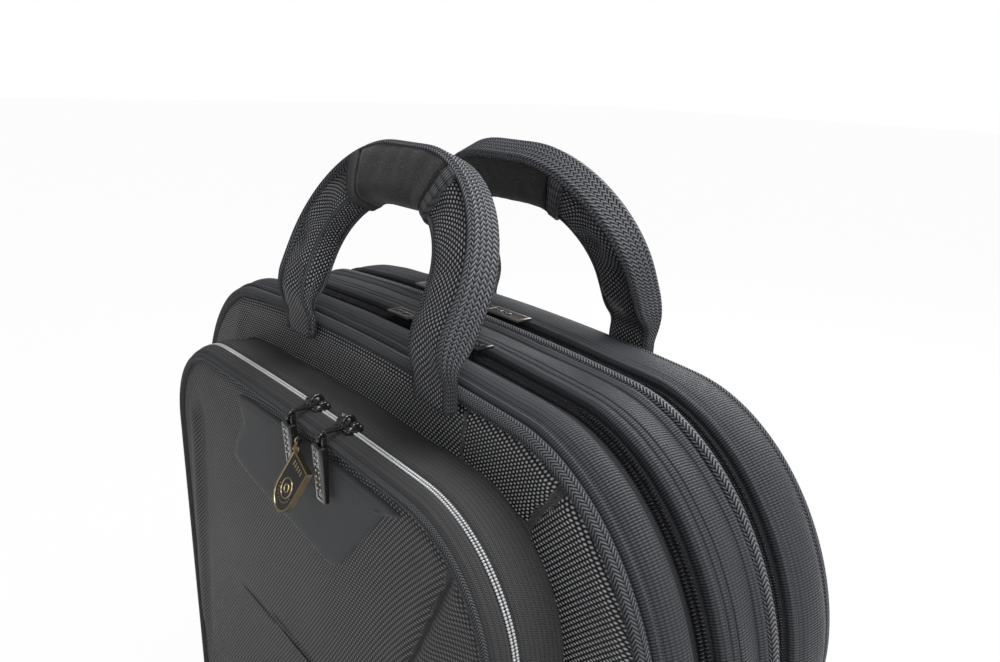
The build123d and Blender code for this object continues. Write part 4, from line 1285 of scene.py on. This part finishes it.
def makeMainHardware():
    size = mainHardware
    for zone in ('front_zip', 'rear_zip'):
        for side, way in (('left', -1), ('right', 1)):
            node = f'{zone}_{side}_slider'
            low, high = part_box(node)
            x, y = (low.x + high.x) / 2 / mm, (low.y + high.y) / 2 / mm
            base, top = low.z / mm, high.z / mm
            body = addBlock(size['body'], (x, y, base - 0.2), 1.6, 3)
            shoulder = addBlock((6.2, 8.4, 3.6), (x - way * 3.4, y, base + 0.9), 1.5, 3)
            arch = addBlock((12.4, 3.2, 1.5), (x, y, top - 0.75), 0.6, 3)
            posts = [addBlock((1.5, 3.2, top - base), (x + end * 5.6, y, (top + base) / 2), 0.4)
                     for end in (-1, 1)]
            name = zone.replace('_zip', 'Zip') + side.title()
            slider = joined(name + 'SliderBody', [body, shoulder, arch] + posts, 'plateBlack')
            hangOn(slider, node, 'dark_metal', node)

            node = f'{zone}_{side}_pull'
            low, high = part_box(node)
            far = (low.x if way < 0 else high.x) / mm
            root = x + way * 9.1
            z = low.z / mm + size['thick'] / 2
            tab = addBlock((abs(far - root), size['tab'], size['thick']), ((far + root) / 2, y, z), 0.6, 2)
            finish = 'gunmetal' if zone == 'rear_zip' else 'plateBlack'
            tab.data.materials.append(finishes[finish])
            for vert in tab.data.vertices:   # a waisted tab with a rounder end
                share = abs(vert.co.x / mm - root) / abs(far - root)
                waist = 0.78 + 0.22 * math.sin(math.pi * (0.15 + 0.75 * share))
                vert.co.y = (y + (vert.co.y / mm - y) * waist) * mm
            setFace(tab, 1.2, 0.3, 'darkEnamel' if zone == 'rear_zip' else 'glossBlack',
                    lambda face: face.normal.z > 0.9 and face.area > 4.0e-5)
            pieces = [tab]
            for k in range(4):
                bar = (1.6, 0.9 + 1.5 * (k % 2), 0.5)
                bead = addBlock(bar, (root + way * (6.0 + 3.6 * k), y, z + 0.75), 0.15, 1)
                bead.data.materials.append(finishes[finish])
                pieces.append(bead)
            for end in (-1, 1):
                pieces.append(addBlock((10.4, 1.3, 1.4), ((x + root) / 2, y + end * 2.55, z), 0.35))
            pieces.append(addRod(0.7, 6.2, (x, y, z), 'y'))
            pull = joined(name + 'Tab', pieces, finish)
            hangOn(pull, node, 'gunmetal' if zone == 'rear_zip' else 'dark_metal', node)
    print('main hardware ready')


# inside: padded divider, laptop sleeve with its strap, organizer pocket

insideSize = {'wall': 3.0, 'bindingHalf': 2.3, 'strap': 2.4}


def softWall(name, low, high, finish, rounding=2.0, swellOut=0.0):
    # a padded wall: a block cut into a grid, rounded and swollen in its middle
    size = [b - a for a, b in zip(low, high)]
    centre = [(a + b) / 2 for a, b in zip(low, high)]
    piece = addBlock(size, centre, min(rounding, min(size) * 0.4), 3)
    pick(piece)
    bpy.ops.object.mode_set(mode='EDIT')
    bpy.ops.mesh.select_all(action='SELECT')
    bpy.ops.mesh.subdivide(number_cuts=7)
    bpy.ops.object.mode_set(mode='OBJECT')
    for vert in piece.data.vertices:
        u = (vert.co.x / mm - centre[0]) / (size[0] / 2)
        w = (vert.co.z / mm - centre[2]) / (size[2] / 2)
        out = swellOut * max(0.0, 1 - u * u) ** 0.8 * max(0.0, 1 - w * w) ** 0.8
        vert.co.y += math.copysign(out * mm, vert.co.y / mm - centre[1])
    piece.data.materials.append(finishes[finish])
    layer = piece.data.uv_layers.get('UVMap') or piece.data.uv_layers[0]
    layer.name = 'clothMap'
    for loop in piece.data.loops:
        place = piece.data.vertices[loop.vertex_index].co
        layer.data[loop.index].uv = (place.x / mm + place.y / mm, place.z / mm)
    piece.name = name
    piece.data.name = name
    bpy.ops.object.shade_smooth_by_angle(angle=math.radians(50))
    return piece


def makeInside():
    low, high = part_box('divider_panel')
    thick = high.y - low.y
    divider = paddedFace('dividerPad', bagClosed, -1, low.y + 0.0012, thick - 0.0016, 40,
                         mainPanel['middle'], mainPanel['reach'],
                         lambda x, z, inside: (1.0 * smoothStep(0, 0.006, inside)) * mm,
                         lambda x, z: np.c_[x / mm, z / mm], finishes['lining'], inset=0.0035)
    hangOn(divider, 'root', 'lining', 'divider_panel')
    wall = insideSize['wall']
    for node, label, opens in (('laptop_sleeve', 'laptopSleeve', 1), ('organizer_pocket', 'organizer', -1)):
        low, high = ([v / mm for v in corner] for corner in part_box(node))
        outer = high[1] if opens > 0 else low[1]
        inner = outer - wall if opens > 0 else outer + wall
        face = softWall(label + 'Face', (low[0], min(outer, inner), low[2]),
                        (high[0], max(outer, inner), high[2]), 'lining', 1.2, 0.8)
        hangOn(face, 'root', 'lining', node)
        for end, edge in (('Left', low[0]), ('Right', high[0] - wall)):
            side = softWall(label + end + 'Side', (edge, low[1], low[2]),
                            (edge + wall, high[1], high[2] - wall), 'lining')
            hangOn(side, 'root', 'lining')
        foot = softWall(label + 'Foot', low, (high[0], high[1], low[2] + wall), 'lining')
        hangOn(foot, 'root', 'lining')
        middle = (outer + inner) / 2
        binding = softWall(label + 'Binding', (low[0], middle - insideSize['bindingHalf'], high[2] - 7),
                           (high[0], middle + insideSize['bindingHalf'], high[2]), 'blackTape')
        hangOn(binding, 'root', 'lining')
    low, high = ([v / mm for v in corner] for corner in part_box('sleeve_strap'))
    web = insideSize['strap']
    runs = [(low, (high[0], low[1] + web, high[2])), ((low[0], low[1], high[2] - web), high),
            ((low[0], high[1] - web, low[2]), high)]   # up the front, over the top, down the back
    parts = [softWall('strapPart', first, last, 'blackTape', 0.9) for first, last in runs]
    strap = joined('sleeveStrapWebbing', parts, 'blackTape')
    hangOn(strap, 'root', 'lining', 'sleeve_strap')
    print('inside ready')


makeMainPanels()
makeBelt()
makeMainZips()
makePocket()
makePatch()
makeHandle('front')
makeHandle('rear')
makeBase()
makePocketHardware()
makeCharm()
makeMainHardware()
makeInside()


# carried-over nodes and their finishes

carried = {'base_board': 'blackBoard', 'base_feet': 'footRubber', 'base_rivets': 'plateBlack',
           'medallion_pin': 'plateBlack'}
for node, finish in carried.items():
    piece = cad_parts[node]
    piece.data.materials.clear()
    piece.data.materials.append(finishes[finish])


# floor, light and camera

studio = {'floorColour': (0.86, 0.86, 0.86), 'floorGlow': 0.97, 'world': 0.22,
          'keyPower': 24, 'sidePower': 8, 'backPower': 12, 'fillPower': 1.2,
          'lens': 30.6, 'place': (0.3730, -0.2635, 0.4802),
          'azimuth': 50.89, 'elevation': 16.68, 'roll': 2.15}


def makeStudio():
    deselectAll()
    bpy.ops.mesh.primitive_plane_add(size=24, location=(0, 0, 0))
    floor = bpy.context.object
    floor.name = 'studioFloor'
    material = bpy.data.materials.new('paleFloor')
    material.use_nodes = True
    shader = material.node_tree.nodes['Principled BSDF']
    shader.inputs['Base Color'].default_value = (*studio['floorColour'], 1)
    shader.inputs['Roughness'].default_value = 0.9
    shader.inputs['Specular IOR Level'].default_value = 0.1
    tree = material.node_tree   # the floor runs out to white, with a soft shadow under the bag
    glow = tree.nodes.new('ShaderNodeEmission')
    seen = tree.nodes.new('ShaderNodeLightPath')
    blend = tree.nodes.new('ShaderNodeMixShader')
    share = calc(tree, 'MULTIPLY', seen.outputs['Is Camera Ray'], studio['floorGlow'])
    tree.links.new(share, blend.inputs[0])
    tree.links.new(shader.outputs[0], blend.inputs[1])
    tree.links.new(glow.outputs[0], blend.inputs[2])
    tree.links.new(blend.outputs[0], tree.nodes['Material Output'].inputs['Surface'])
    floor.data.materials.append(material)
    world = bpy.data.worlds.new('studioWorld')
    world.use_nodes = True
    tree = world.node_tree   # a dim white room that the camera sees as plain white
    light = tree.nodes['Background']
    light.inputs[0].default_value = (1, 1, 1, 1)
    light.inputs[1].default_value = studio['world']
    behind = tree.nodes.new('ShaderNodeBackground')
    behind.inputs[0].default_value = (1, 1, 1, 1)
    seen = tree.nodes.new('ShaderNodeLightPath')
    blend = tree.nodes.new('ShaderNodeMixShader')
    tree.links.new(seen.outputs['Is Camera Ray'], blend.inputs[0])
    tree.links.new(light.outputs[0], blend.inputs[1])
    tree.links.new(behind.outputs[0], blend.inputs[2])
    tree.links.new(blend.outputs[0], tree.nodes['World Output'].inputs['Surface'])
    bpy.context.scene.world = world

    def softLight(name, place, aim, size, power):
        deselectAll()
        bpy.ops.object.light_add(type='AREA', location=place)
        light = bpy.context.object
        light.name = name
        light.data.shape = 'RECTANGLE'
        light.data.size, light.data.size_y = size
        light.data.energy = power
        light.rotation_euler = (Vector(aim) - Vector(place)).to_track_quat('-Z', 'Y').to_euler()

    softLight('overheadSoftbox', (0.5, 0.35, 1.5), (0.05, 0, 0.3), (1.2, 0.9), studio['keyPower'])
    softLight('sideSoftbox', (1.5, -0.6, 0.9), (0, 0, 0.25), (0.9, 0.9), studio['sidePower'])
    softLight('rearSoftbox', (-0.4, 1.4, 1.1), (0, 0, 0.3), (1.2, 0.7), studio['backPower'])
    softLight('frontFill', (-0.5, -1.5, 1.0), (0, 0, 0.25), (1.0, 1.0), studio['fillPower'])

    deselectAll()
    bpy.ops.object.camera_add(location=studio['place'])
    camera = bpy.context.object
    camera.name = 'studioCamera'
    azimuth, elevation = math.radians(studio['azimuth']), math.radians(studio['elevation'])
    back = Vector((math.sin(azimuth) * math.cos(elevation), -math.cos(azimuth) * math.cos(elevation),
                   math.sin(elevation)))
    turn = (-back).to_track_quat('-Z', 'Y').to_matrix().to_4x4()
    camera.matrix_world = (Matrix.Translation(studio['place']) @ turn
                           @ Matrix.Rotation(math.radians(studio['roll']), 4, 'Z'))
    camera.data.lens = studio['lens']
    camera.data.sensor_width = 36
    camera.data.clip_start = 0.01
    bpy.context.scene.camera = camera
    bpy.context.scene.view_settings.view_transform = 'Standard'


makeStudio()
print('studio ready')
